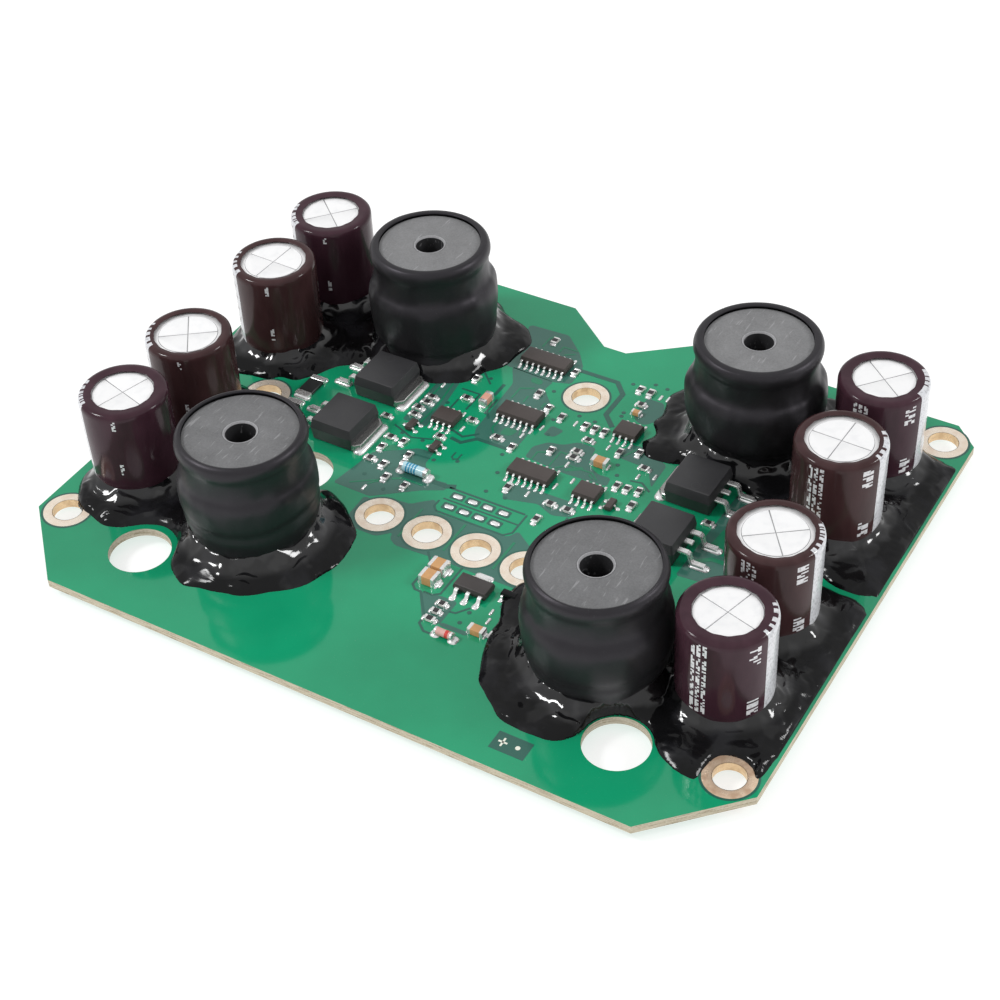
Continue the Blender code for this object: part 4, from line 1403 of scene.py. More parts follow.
    def _marker(self) -> None:
        """Make the bare window near the front edge with its cross and dot, and the small hook mark."""
        x, y = self.marker
        marks = Shape()
        marks.plate(rectangle(x - 3.15, x + 3.15, y - 1.9, y + 1.9), 0.0, 0.02, 0)
        for line in (((x - 2.3, y), (x - 0.7, y)), ((x - 1.5, y - 0.9), (x - 1.5, y + 0.9))):
            marks.plate(widened(line, 0.34), 0.0, 0.045, 1)
        marks.plate(circle((x + 1.2, y), 0.42, 20), 0.0, 0.045, 1)
        hook = [(59.3, 62.4), (59.3, 60.9), (59.9, 60.4), (60.6, 60.9), (60.6, 62.4)]
        marks.plate(widened(hook, 0.32), 0.0, 0.03, 0)
        publish(marks, "board_marks", (self.palette.gap, self.palette.pale_ink))


@dataclass
class Choke(Assembly):
    """One wound choke: drum core, coil and shrunk sleeve."""

    name: str
    seed: float
    rim_inner: float
    bulge: float
    foot: float
    fold: float
    # pale: the core takes the lighter copy of the ferrite, which is painted light for how the light falls on
    # it.
    pale: bool
    bore: float = 2.7
    coil: float = 10.9
    lead: float = 0.65
    lead_reach: float = 9.4
    steps: int = 112

    def build(self) -> None:
        """Make the core, the coil with its leads, and the sleeve."""
        self._core()
        self._coil()
        self._sleeve()

    def _core(self) -> None:
        """Make the drum core with the ground rim of its bore, and a near-black lining in the bore that is
        painted shade.
        """
        node = self.name + "_core"
        place, size = middle_of(node), size_of(node)
        top, bore, disc = size.z, self.bore, self.rim_inner + 0.3
        core = Shape()
        drum = [(bore + 0.45, top), (disc - 0.35, top), (disc, top - 0.35), (disc, top - 6.4),
                (4.5, top - 6.5), (4.5, 3.1), (10.2, 3.0), (10.2, 0.0), (bore, 0.0), (bore, top - 0.5)]
        core.turned(drum, place, self.steps, 0)
        core.turned([(bore - 0.03, top - 0.30), (bore + 0.02, top - 0.40), (bore + 0.36, top - 0.02),
                     (bore + 0.32, top + 0.015), (bore + 0.18, top + 0.01)], place, 72, 1)
        # A thin near-black lining of the bore: painted shade inside the hole.
        core.turned(rectangle(bore - 0.03, bore + 0.03, 0.05, top - 0.36), place, 72, 2)
        # The back chokes take the lighter ferrite: painted light, not a paler material.
        ferrite = self.palette.pale_ferrite if self.pale else self.palette.ferrite
        publish(core, node, (ferrite, self.palette.bore_rim, self.palette.bore_painted_shade), (node,), 40.0)

    def _coil(self) -> None:
        """Make the coil, ridged by its turns of wire, and its two leads down through the board."""
        node = self.name + "_winding"
        x, y, z = middle_of(node)
        low, high, far = -z + 3.6, -z + 13.2, self.coil
        turns = 7
        wire = (high - low) / turns
        ridges = []
        for turn in range(turns):
            for step in range(6):
                bend = math.pi * (step + 0.5) / 6
                rise = low + wire * (turn + (1 - math.cos(bend)) / 2)
                ridges.append((far + 0.5 * wire * (math.sin(bend) - 1.0), rise))
        coil = Shape()
        coil.turned([(4.7, low), *ridges, (4.7, high)], (x, y, z), self.steps // 2, 0)
        for side in (-1, 1):
            radius = self.lead
            profile = [(0.0, 0.0), (radius * 0.8, 0.0), (radius, 0.12), (radius, low + 1.0), (0.0, low + 1.0)]
            coil.turned(profile, (x, y + side * self.lead_reach, z), 16, 0)
        publish(coil, node, (self.palette.copper,), (node,), 50.0)

    def _sleeve(self) -> None:
        """Make the sleeve: it bulges over the coil, necks in above it and rolls over the core's edge."""
        node = self.name + "_sleeve"
        place = middle_of(node)
        outer = [(10.9, 0.0), (10.95, 1.5), (11.25, 3.0), (11.75, 4.6), (12.2, 6.4), (12.48, 8.4), (12.6, 10.4),
                 (12.58, 12.2), (12.4, 13.6), (11.96, 14.7), (11.40, 15.5), (11.12, 16.4), (11.02, 17.5),
                 (11.02, 18.6), (11.12, 19.6), (11.40, 20.5), (11.52, 21.3), (11.40, 22.1), (11.06, 22.62),
                 (10.7, 22.86), (self.rim_inner + 0.3, 22.92), (self.rim_inner, 22.8)]
        neck = 11.2
        outer = [(neck + (far - neck) * self.bulge if neck < far and high < 16 else far, high)
                 for far, high in outer]
        outer = [(max(far, self.foot) if high < 10 else far, high) for far, high in outer]
        smooth = flowing(outer, 3, closed=False)
        inner = [(self.rim_inner, 22.60), (10.75, 22.3), (10.8, 21.6), (10.8, 0.0)]
        sleeve = Shape()
        sleeve.turned(smooth + inner, place, self.steps, 0, self._wrinkle)
        publish(sleeve, node, (self.palette.heat_shrink,), (node,), 60.0)

    def _wrinkle(self, turn: float, radius: float, height: float) -> Flat:
        """Push the sleeve in and out a little: slow swells, and creases where it necks in.

        Args:
            turn: The angle around the axis.
            radius: The true radius there.
            height: The true height.

        Returns:
            The radius and height to use.
        """
        x, y = math.cos(turn) * 2.2, math.sin(turn) * 2.2
        swell = noise.noise(Vector((x * 0.7, y * 0.7, height * 0.10 + self.seed))) * 0.26
        creases = noise.noise(Vector((x * 2.6, y * 2.6, height * 0.22 + self.seed * 3.1))) * 0.16
        neck = math.exp(-(((height - 14.6) / 2.6) ** 2))
        lobes = math.sin(turn * 9 + 2.2 * math.sin(turn * 2 + self.seed)) * 0.10 * neck
        fold = -0.30 * math.exp(-(((height - self.fold - 0.5 * math.sin(turn * 2 + self.seed)) / 0.9) ** 2))
        rim = math.exp(-(((height - 22.2) / 1.0) ** 2))
        rim_wave = math.sin(turn * 3 + self.seed) * 0.07 * rim
        wall = 0.0 if radius < 10.85 else 1.0 - 0.75 * rim
        push = wall * (swell + creases * (0.4 + neck) + lobes + fold)
        return radius + push, height + rim_wave * min(1.0, wall + 0.3)


@dataclass
class Capacitor(Assembly):
    """One can capacitor: can with scored top and printed film."""

    name: str
    tint: FilmTint
    opening: float
    stripe_turn: float
    seed: int
    steps: int = 144
    score_turn: float = 0.4
    stripe_half: float = math.radians(29)
    rows: int = 44
    fine_columns: tuple[int, ...] = (-49, -48, -46, -45, -43, -42)
    side_columns: tuple[int, ...] = (31, 32)
    large_columns: range = range(-22, -16)

    def build(self) -> None:
        """Make the can and the film. The bung keeps its CAD shape."""
        self._can()
        self._film()
        frame["nodes"][self.name + "_header"].data.materials[0] = self.palette.bung

    def _can(self) -> None:
        """Make the can, its top pressed in four petals between the grooves of the vent, over a dark disc that
        shows only in the grooves as painted shade.
        """
        node = self.name + "_can"
        x, y, z = middle_of(node)
        top = size_of(node).z
        wall = 7.5
        can = Shape()
        can.turned([(0.0, top - 0.10), (wall - 0.9, top - 0.10), (wall - 0.25, top - 0.28), (wall, top - 0.9),
                    (wall, 3.2), (6.9, 2.3), (wall, 1.4), (wall, 0.0), (0.0, 0.0)], (x, y, z), self.steps)
        reach, groove = 5.45, 0.09
        for quarter in range(4):
            petal = [(groove, groove)]
            petal += [(reach * math.cos(turn), reach * math.sin(turn))
                      for turn in (math.radians(1.2 + 87.6 * step / 16) for step in range(17))]
            rings = [[(px, py, top - 0.14) for px, py in petal], [(px, py, top - 0.03) for px, py in petal]]
            inner = [[groove + 0.06 + 0.985 * (axis - groove) for axis in spot] for spot in petal]
            rings.append([(px, py, top) for px, py in inner])
            can.moved(can.loft(rings), (x, y, z), self.score_turn + math.pi / 2 * quarter)
        # A dark disc under the petals that shows through the grooves: painted shade.
        can.turned(rectangle(0.0, reach + 0.1, top - 0.105, top - 0.085), (x, y, z), 72, 1)
        publish(can, node, (self.palette.can, self.palette.groove_shade), (node,), 30.0)

    def _film(self) -> None:
        """Make the film: a stripe with minus bars, rows of plain ink ticks, and a rolled top rim."""
        node = self.name + "_sleeve"
        place, size = middle_of(node), size_of(node)
        wide, top = size.x / 2, size.z
        rise = [(wide - 0.25, 0.0), (wide - 0.05, 0.35), (wide, 0.9), (wide - 0.03, 1.6), (wide - 0.22, 2.3),
                (wide - 0.05, 3.0)]
        low, high = 3.6, top - 1.0
        rise += [(wide, low + (high - low) * step / self.rows) for step in range(self.rows + 1)]
        edge = [(wide - 0.10, top - 0.50), (wide - 0.34, top - 0.20), (wide - 0.70, top - 0.04),
                (wide - 1.1, top)]
        edge += [(wide - 1.1 + (self.opening - wide + 1.1) * step / 3, top - 0.04 * step) for step in (1, 2, 3)]
        under = [(self.opening, top - 0.26), (wide - 0.9, top - 0.30), (wide - 0.32, top - 0.9),
                 (wide - 0.32, 0.0)]
        film = Shape()
        film.turned(rise + edge + under, place, self.steps, 0, self._shrink)
        self._print(film, place, low, high)
        finishes = (self.palette.films[self.tint], self.palette.film_stripe, self.palette.film_print)
        publish(film, node, finishes, (node,), 50.0)

    def _shrink(self, turn: float, radius: float, height: float) -> Flat:
        """Let the film wave a little over the can and pucker at its top edge.

        Args:
            turn: The angle around the axis.
            radius: The true radius there.
            height: The true height.

        Returns:
            The radius and height to use.
        """
        spot = Vector((math.cos(turn) * 1.6, math.sin(turn) * 1.6, height * 0.12 + self.seed))
        pucker = math.sin(turn * 14 + self.seed) * 0.05 if radius < self.opening + 0.3 else 0.0
        return radius + noise.noise(spot) * 0.05 + pucker, height

    def _print(self, film: Shape, place: Place, low: float, high: float) -> None:
        """Give the stripe, its minus bars and the ink ticks their finishes.

        Args:
            film: The film.
            place: The middle of its lower end.
            low: The height where the print starts.
            high: The height where it ends.
        """
        chance = np.random.default_rng(self.seed)
        small = chance.random((96, 8)) < 0.62
        large = chance.random((16, 4, 3)) < 0.66
        pitch = 2 * math.pi / self.steps
        outside = size_of(self.name + "_sleeve").x / 2 - 0.3
        for face in film.mesh.faces:
            spot = face.calc_center_median() - Vector(place)
            radius = math.hypot(spot.x, spot.y)
            rim = spot.z > high + 0.8 and radius > outside - 0.8
            if radius < outside and not rim:
                continue
            turn = (math.atan2(spot.y, spot.x) - self.stripe_turn + math.pi) % (2 * math.pi) - math.pi
            level = int((spot.z - low) / ((high - low) / self.rows))
            column = int(turn // pitch)
            inked = low < spot.z < high
            if abs(turn) < self.stripe_half:
                bar = inked and level % 8 in (3, 4) and 2 < column < 8
                bar |= rim and column % 5 < 3 and small[0, column % 8]
                face.material_index = 0 if bar else 1
                continue
            fine = column in self.fine_columns and level % 9 != 8
            fine |= column in self.side_columns and (level > 37 or 6 < level < 15)
            if inked and fine:
                face.material_index = 2 if small[level, column % 8] else 0
            elif inked and column in self.large_columns and (level > 30 or level < 9) and level % 4 != 3:
                block = (column - self.large_columns.start) // 2
                face.material_index = 2 if large[level // 4, block, level % 4 % 3] else 0


@dataclass
class TabTransistor(Assembly):
    """One three-lead transistor with its tab to the board, its middle lead cropped."""

    name: str
    turn: float
    length: float = 9.2
    width: float = 9.8
    draft: float = 0.35
    tab_low: float = 0.3
    tab_high: float = 1.6
    top: float = 4.7
    parting: float = 2.8
    proud: float = 1.4
    lead_pitch: float = 2.54
    lead_width: float = 1.15
    lead_thick: float = 0.5
    reach: float = 5.0

    def build(self) -> None:
        """Make the case, the tab with its leads, and the solder under them."""
        self._case()
        self._tab()
        self._solder()

    @property
    def place(self) -> Place:
        """The middle of its case, on the board."""
        return (*middle_of(self.name + "_case")[:2], 0.0)

    def _case(self) -> None:
        """Make the moulded case with its parting line and its locating dimple."""
        case, place = Shape(), self.place
        low, parting, top, draft = self.tab_low - 0.1, self.parting, self.top, self.draft
        levels = [(low, draft * 0.8), (parting - 0.06, 0.02), (parting, 0.0), (parting + 0.06, 0.02),
                  (top - 0.22, draft), (top - 0.07, draft + 0.07), (top, draft + 0.24)]
        case.case(place, (self.length, self.width), levels, 0.45, self.turn)
        made = case.turned(dimple(0.80, top), ORIGIN, 32)
        case.moved(made, (1.0, -3.1, 0.0))
        case.moved(made, place, self.turn)
        node = self.name + "_case"
        publish(case, node, (self.palette.moulding,), (node,))

    def _tab(self) -> None:
        """Make the tab and the leads: two bent down to the board, one cropped short."""
        tab, place = Shape(), self.place
        half, back, wide, nip = self.length / 2, -self.length / 2 - self.proud, 4.55, 1.0
        outline = [(back + nip, -wide), (0.9 - half, -wide), (0.9 - half, wide), (back + nip, wide),
                   (back, wide - nip), (back, nip - wide)]
        soft = 0.12
        rings = []
        for high, inset in ((self.tab_low, 0.0), (self.tab_high - soft, 0.0), (self.tab_high, soft)):
            share = [(px * (1 - inset / abs(back)), py * (1 - inset / wide), high) for px, py in outline]
            rings.append(share)
        tab.moved(tab.loft(rings), place, self.turn)
        start, bend, foot = half - 0.6, half + 1.7, self.lead_thick / 2 + 0.28
        high = self.parting - 0.25
        path = [(start, high), (bend, high), (bend + 0.35, high - 0.25), (bend + 0.75, foot + 0.25),
                (bend + 1.1, foot), (half + self.reach, foot)]
        crop = [(start, high), (half + 1.5, high)]
        first_lead = len(tab.mesh.faces)
        for row, line in ((-1, path), (0, crop), (1, path)):
            made = len(tab.mesh.verts)
            tab.strip(line, self.lead_thick, self.lead_width, ORIGIN)
            fresh = list(tab.mesh.verts)[made:]
            tab.moved(fresh, (0.0, row * self.lead_pitch, 0.0))
            tab.moved(fresh, place, self.turn)
        for face in list(tab.mesh.faces)[first_lead:]:
            face.material_index = 1
        node = self.name + "_tab"
        # The tab takes the darkened metal, which is painted shade; the leads take the bright tin.
        publish(tab, node, (self.palette.tab, self.palette.tin), (node,))

    def _solder(self) -> None:
        """Make the solder around the tab and under the two feet."""
        solder = Shape()
        middle = -self.length / 2 - self.proud + 0.45
        made = len(solder.mesh.verts)
        solder.mound((middle, 0.0, 0.0), (2.3, 9.9), 0.62)
        for row in (-1, 1):
            solder.mound((self.length / 2 + self.reach - 1.0, row * self.lead_pitch, 0.0), (3.9, 1.75), 0.46)
        solder.moved(list(solder.mesh.verts)[made:], self.place, self.turn)
        publish(solder, self.name + "_solder", (self.palette.solder,))


@dataclass
class Chip(Assembly):
    """One small-outline chip with two rows of gull-wing leads."""

    name: str
    leads: int
    along: Along = Along.X
    pitch: float = 1.27
    width: float = 3.9
    height: float = 1.5
    lift: float = 0.12
    span: float = 3.0
    lead_width: float = 0.42

    def build(self) -> None:
        """Make the moulded body, the rows of leads and their solder."""
        x, y, _ = middle_of(self.name)
        length = self.leads * self.pitch - 0.25
        body = Shape()
        low, top = self.lift, self.lift + self.height
        parting = (low + top) / 2
        levels = [(low, 0.16), (parting - 0.05, 0.0), (parting + 0.05, 0.0), (top - 0.12, 0.17),
                  (top - 0.03, 0.21), (top, 0.30)]
        body.case((x, y, 0.0), (length, self.width), levels, 0.14, self.along.value)
        mark = Vector((-length / 2 + 0.75, -self.width / 2 + 0.85))
        mark.rotate(Matrix.Rotation(self.along.value, 2))
        dot = [(0.0, top - 0.005), (0.24, top - 0.005), (0.30, top + 0.012), (0.38, top + 0.012),
               (0.42, top - 0.01), (0.42, top - 0.05), (0.0, top - 0.05)]
        body.turned(dot, (x + mark.x, y + mark.y, 0.0), 20)
        publish(body, self.name + "_body", (self.palette.chip,), (self.name,))
        lead = Shape()
        start, high, thick = self.width / 2 - 0.35, parting, 0.2
        foot = thick / 2 + 0.07
        path = [(start, high), (self.width / 2 + 0.18, high), (self.width / 2 + 0.38, high - 0.14),
                (self.span - 0.62, foot + 0.16), (self.span - 0.46, foot), (self.span, foot)]
        lead.strip(path, thick, self.lead_width, ORIGIN, -math.pi / 2)
        row = (self.leads, self.pitch, (x, y))
        self.repeats.lead_rows(self.name + "_leads", lead, *row, self.palette.tin, self.along)
        wet = Shape()
        wet.mound((0.0, -self.span + 0.12, 0.0), (0.62, 1.5), 0.20)
        self.repeats.lead_rows(self.name + "_solder", wet, *row, self.palette.solder, self.along)


@dataclass
class SmallParts(Assembly):
    """The small parts soldered on the board: resistors, capacitors, transistors, diodes, shunts."""

    resistors_y: tuple[Flat, ...] = pairs(
        59.1, 100.2, 64.5, 84.3, 67.5, 93.2, 68.3, 81.3, 71.8, 80, 77, 79.8, 79, 79.8, 81, 79.8, 81.1, 94.2,
        83.3, 94.1, 67.9, 68.1, 74.8, 70.7, 86.2, 76, 89.5, 77.5, 90.1, 67.5, 92.1, 67.6, 94.3, 68, 94.9, 64,
        72.9, 58.1, 81.7, 53, 49.2, 60.2, 46.4, 57.1, 49.4, 53, 52.1, 57.3, 51.7, 50.2, 56.1, 49.7, 51.5, 82.8
    )
    resistors_x: tuple[Flat, ...] = pairs(
        83.3, 90.2, 53, 76.8, 57.3, 71.6, 64.1, 69.3, 79.5, 76.4, 79.2, 72.6, 79.4, 70.8, 92.3, 74.1, 81.9,
        57.7, 85.4, 57.7, 46.7, 68.1, 54.4, 64.6, 46.4, 60.3, 46.3, 53.4, 46.9, 74, 46.9, 72.2, 46.3, 70.1,
        47.8, 81.2, 42.3, 65.2, 109, 66.1, 78.2, 27, 78.2, 25, 78.2, 23
    )
    bare_pads: tuple[Flat, ...] = pairs(
        74.9, 79.8, 85.5, 94, 87, 94.2, 56.8, 68.7, 67.7, 72.2, 69.9, 75.8, 83.6, 76.5, 82.3, 65.2, 80.2,
        62.5, 76.8, 58.3, 79.2, 68.8, 95, 73, 92.2, 71.7, 75.4, 34.3, 75.4, 31, 86.5, 29.4, 87.1, 27.3, 88.9,
        24.8, 46.7, 78.3, 49.6, 46.2
    )
    small_transistors: tuple[Place, ...] = (
        (48.0, 64.9, 0.0), (55.3, 61.5, 0.0), (91.6, 62.3, 180.0), (87.3, 34.0, -90.0)
    )
    coated: int = 3
    regulator_y: float = 32.7
    length: float = 1.95
    width: float = 1.15
    height: float = 0.55
    end: float = 0.46

    def build(self) -> None:
        """Make every kind of small part."""
        self._resistors()
        self._block_capacitors()
        self._small_transistors()
        self._regulator()
        self._diodes()
        self._shunts()

    def _resistors(self) -> None:
        """Make the chip resistors: ceramic body, dark glaze on top, tinned ends and solder."""
        spots = [Spot(x, y, Along.Y, self._share(x, y)) for x, y in self.resistors_y]
        spots += [Spot(x, y, Along.X, self._share(x, y)) for x, y in self.resistors_x]
        half, wide, high, end = self.length / 2, self.width, self.height, self.end
        body, glaze, ends, wet = Shape(), Shape(), Shape(), Shape()
        body.case(ORIGIN, (2 * half - 0.1, wide - 0.04), [(0.10, 0.0), (0.10 + high - 0.04, 0.0)], 0.03)
        levels = [(high, 0.0), (high + 0.09, 0.02), (high + 0.11, 0.07)]
        glaze.case(ORIGIN, (2 * (half - end), wide - 0.08), levels, 0.06)
        for side in (-1, 1):
            place = (side * (half - end / 2), 0.0, 0.0)
            ends.case(place, (end, wide), [(0.06, 0.0), (high + 0.05, 0.0), (high + 0.09, 0.05)], 0.08)
            wet.mound((side * (half + 0.08), 0.0, 0.0), (0.80, wide + 0.12), 0.34)
        self.repeats.placed("resistor_bodies", body, spots, self.palette.alumina, "resistor_ceramic")
        self.repeats.placed("resistor_glaze", glaze, spots, self.palette.resistor_glaze, "resistor_ceramic")
        self.repeats.placed("resistor_ends", ends, spots, self.palette.tin, "tinned_metal")
        self.repeats.placed("resistor_solder", wet, spots, self.palette.solder, "tinned_metal")
        pad = Shape()
        pad.mound(ORIGIN, (1.7, 0.58), 0.26)
        pads = [Spot(x, y, Along.Y, self._share(x, y)) for x, y in self.bare_pads]
        self.repeats.placed("spare_pads", pad, pads, self.palette.solder, "tinned_metal")

    @staticmethod
    def _share(x: float, y: float) -> Place:
        """A size share that varies a little from place to place."""
        share = 1.0 + 0.07 * math.sin(x * 12.9 + y * 7.3)
        return (share, 1.0 + 0.05 * math.sin(x * 5.1 - y * 9.7), 1.0)

    def _block_capacitors(self) -> None:
        """Make the layered ceramic capacitors, tan and rose, with their tinned ends."""
        kinds = (
            (middle_of("filter_capacitor")[:2], (3.1, 2.6, 1.9), Along.X, 0, ("filter_capacitor",)),
            ((73.3, 30.95), (3.1, 2.6, 1.9), Along.X, 0, ()),
            ((86.85, 24.05), (3.0, 1.7, 1.3), Along.X, 0, ()),
            ((84.6, 71.5), (3.2, 1.9, 1.5), Along.X, 0, ()),
            ((56.7, 77.7), (3.2, 1.6, 1.5), Along.Y, 1, ()),
            ((83.7, 87.5), (1.9, 1.2, 0.9), Along.X, 0, ()),
        )
        finishes = (self.palette.tan, self.palette.rose)
        for index, ((x, y), (long, wide, high), along, kind, nodes) in enumerate(kinds):
            place = (x, y, 0.0)
            body, ends = Shape(), Shape()
            levels = [(0.1, 0.0), (high - 0.14, 0.0), (high - 0.05, 0.05), (high, 0.16)]
            body.case(place, (long - 0.2, wide - 0.06), levels, 0.18, along.value)
            reach = Vector((long / 2 - 0.11 * long, 0.0))
            reach.rotate(Matrix.Rotation(along.value, 2))
            for side in (-1, 1):
                spot = (x + side * reach.x, y + side * reach.y, 0.0)
                levels = [(0.04, 0.0), (high - 0.10, 0.0), (high, 0.05), (high + 0.04, 0.14)]
                ends.case(spot, (0.24 * long, wide), levels, 0.16, along.value)
                far = (x + side * reach.x * 1.28, y + side * reach.y * 1.28, 0.0)
                ends.mound(far, (0.7, wide - 0.1), 0.30, along.value, 1)
            name = f"block_capacitor_{index + 1}"
            publish(body, name + "_body", (finishes[kind],), nodes)
            publish(ends, name + "_ends", self.palette.tinned)

    def _small_transistors(self) -> None:
        """Make the three-lead transistors: two leads on one side and one on the other."""
        for index, (x, y, turn) in enumerate(self.small_transistors):
            place, about = (x, y, 0.0), math.radians(turn)
            body, metal = Shape(), Shape()
            levels = [(0.14, 0.12), (0.6, 0.0), (0.66, 0.0), (1.02, 0.12), (1.06, 0.2)]
            body.case(place, (1.4, 2.9), levels, 0.1, about)
            for side, row in ((1, -0.95), (1, 0.95), (-1, 0.0)):
                made = len(metal.mesh.verts)
                path = [(0.5, 0.6), (0.86, 0.6), (1.0, 0.5), (1.08, 0.2), (1.2, 0.14), (1.5, 0.14)]
                metal.strip(path, 0.14, 0.42, ORIGIN)
                metal.mound((1.42, 0.0, 0.0), (1.0, 0.85), 0.2, 0.0, 1)
                fresh = list(metal.mesh.verts)[made:]
                metal.moved(fresh, (0.0, row, 0.0), 0.0 if side > 0 else math.pi)
                metal.moved(fresh, place, about)
            name = f"small_transistor_{index + 1}"
            coat = self.palette.potting if index == self.coated else self.palette.chip
            publish(body, name + "_body", (coat,))
            publish(metal, name + "_leads", self.palette.tinned)

    def _regulator(self) -> None:
        """Make the regulator: a drafted case, three leads in front and a broad tab behind."""
        x, y = middle_of("regulator")[0], self.regulator_y
        place = (x, y, 0.0)
        body, metal = Shape(), Shape()
        body.case(place, (6.5, 3.5), [(0.1, 0.22), (0.85, 0.0), (0.92, 0.0), (1.55, 0.20), (1.62, 0.30)], 0.12)
        leads = [(shift, 0.75, -1) for shift in (-2.3, 0.0, 2.3)] + [(0.0, 3.1, 1)]
        for shift, wide, side in leads:
            path = [(1.4, 0.88), (2.0, 0.88), (2.25, 0.72), (2.5, 0.26), (2.75, 0.16), (3.5, 0.16)]
            metal.strip(path, 0.24, wide, (x + shift, y, 0.0), math.radians(side * 90.0))
            metal.mound((x + shift, y + side * 3.4, 0.0), (wide + 0.45, 1.5), 0.22, 0.0, 1)
        publish(body, "regulator_body", (self.palette.regulator,), ("regulator",))
        publish(metal, "regulator_leads", self.palette.tinned)

    def _diodes(self) -> None:
        """Make the banded round resistor and the small glass diode, each lying along X."""
        x, y, _ = middle_of("round_resistor")
        self._lying("round_resistor", (x, y), 6.0, 1.0, (self.palette.pale_lacquer, self.palette.blue_band),
                    "resistor_ceramic", (0.27, 0.37, 0.47, 0.57), 0.17, ("round_resistor",))
        self._lying("glass_diode", (82.5, 20.75), 3.6, 0.75, (self.palette.diode_glass, self.palette.red_band),
                    "resistor_ceramic", (0.68,), 0.30, ())

    def _lying(
        self,
        name: str,
        place: Flat,
        length: float,
        radius: float,
        finishes: Sequence[bpy.types.Material],
        slot: str,
        bands: Sequence[float],
        band: float,
        nodes: Sequence[str],
    ) -> None:
        """Make a round part that lies along X between two caps.

        Args:
            name: Its name.
            place: Its middle.
            length: Its length with its caps.
            radius: Its radius.
            finishes: Those of its body and its bands.
            slot: The body's slot in the record. Not used.
            bands: Where its bands are, as shares of its length.
            band: Half the width of a band.
            nodes: The CAD nodes it stands for.
        """
        cap = length * 0.13
        upright = Matrix.Rotation(math.pi / 2, 4, "Y")
        middle = Matrix.Translation((place[0] - length / 2, place[1], radius + 0.12))
        body, caps = Shape(), Shape()
        start = [(0.0, cap * 0.6), (radius * 0.93, cap * 0.6), (radius * 0.96, cap * 1.1),
                 (radius * 0.93, cap * 1.5)]
        body.turned(start + [(far, length - along) for far, along in reversed(start)], ORIGIN, 32)
        for share in bands:
            at = share * length
            body.turned([(radius * 0.9, at - band), (radius * 0.955, at - band), (radius * 0.965, at),
                         (radius * 0.955, at + band), (radius * 0.9, at + band)], ORIGIN, 32, 1)
        for start, toward in ((0.0, 1), (length, -1)):
            profile = [(0.0, 0.0), (radius * 0.8, 0.0), (radius, 0.12), (radius, cap),
                       (radius * 0.9, cap + 0.02), (0.0, cap + 0.02)]
            caps.turned([(far, start + toward * along) for far, along in profile], ORIGIN, 32)
        for shape in (body, caps):
            bmesh.ops.transform(shape.mesh, matrix=middle @ upright, verts=list(shape.mesh.verts))
        for side in (-1, 1):
            spot = (place[0] + side * (length / 2 - 0.1), place[1], 0.0)
            caps.mound(spot, (1.9, 2 * radius + 0.5), radius * 0.55, 0.0, 1)
        publish(body, name, tuple(finishes), nodes, 50.0)
        publish(caps, name + "_caps", self.palette.tinned, (), 50.0)

    def _shunts(self) -> None:
        """Make the two flat current shunts with their broad tinned ends."""
        x, y, _ = middle_of("current_shunt")
        for index, (px, py, nodes) in enumerate(((x, y, ("current_shunt",)), (24.4, 58.0, ()))):
            body, ends = Shape(), Shape()
            body.case((px, py, 0.0), (3.1, 3.9), [(0.12, 0.0), (0.62, 0.0), (0.72, 0.08)], 0.15)
            for side in (-1, 1):
                levels = [(0.05, 0.0), (0.66, 0.0), (0.72, 0.07)]
                ends.case((px, py + side * 2.55, 0.0), (3.2, 1.2), levels, 0.15)
                ends.mound((px, py + side * 3.0, 0.0), (3.6, 1.6), 0.5, 0.0, 1)
            publish(body, f"shunt_{index + 1}_body", (self.palette.shunt_coat,), nodes)
            publish(ends, f"shunt_{index + 1}_ends", self.palette.tinned)


@dataclass(frozen=True)
class Pool:
    """One pool of potting: its outline, and the CAD nodes it stands for."""

    name: str
    nodes: tuple[str, ...]
    outline: tuple[Flat, ...]


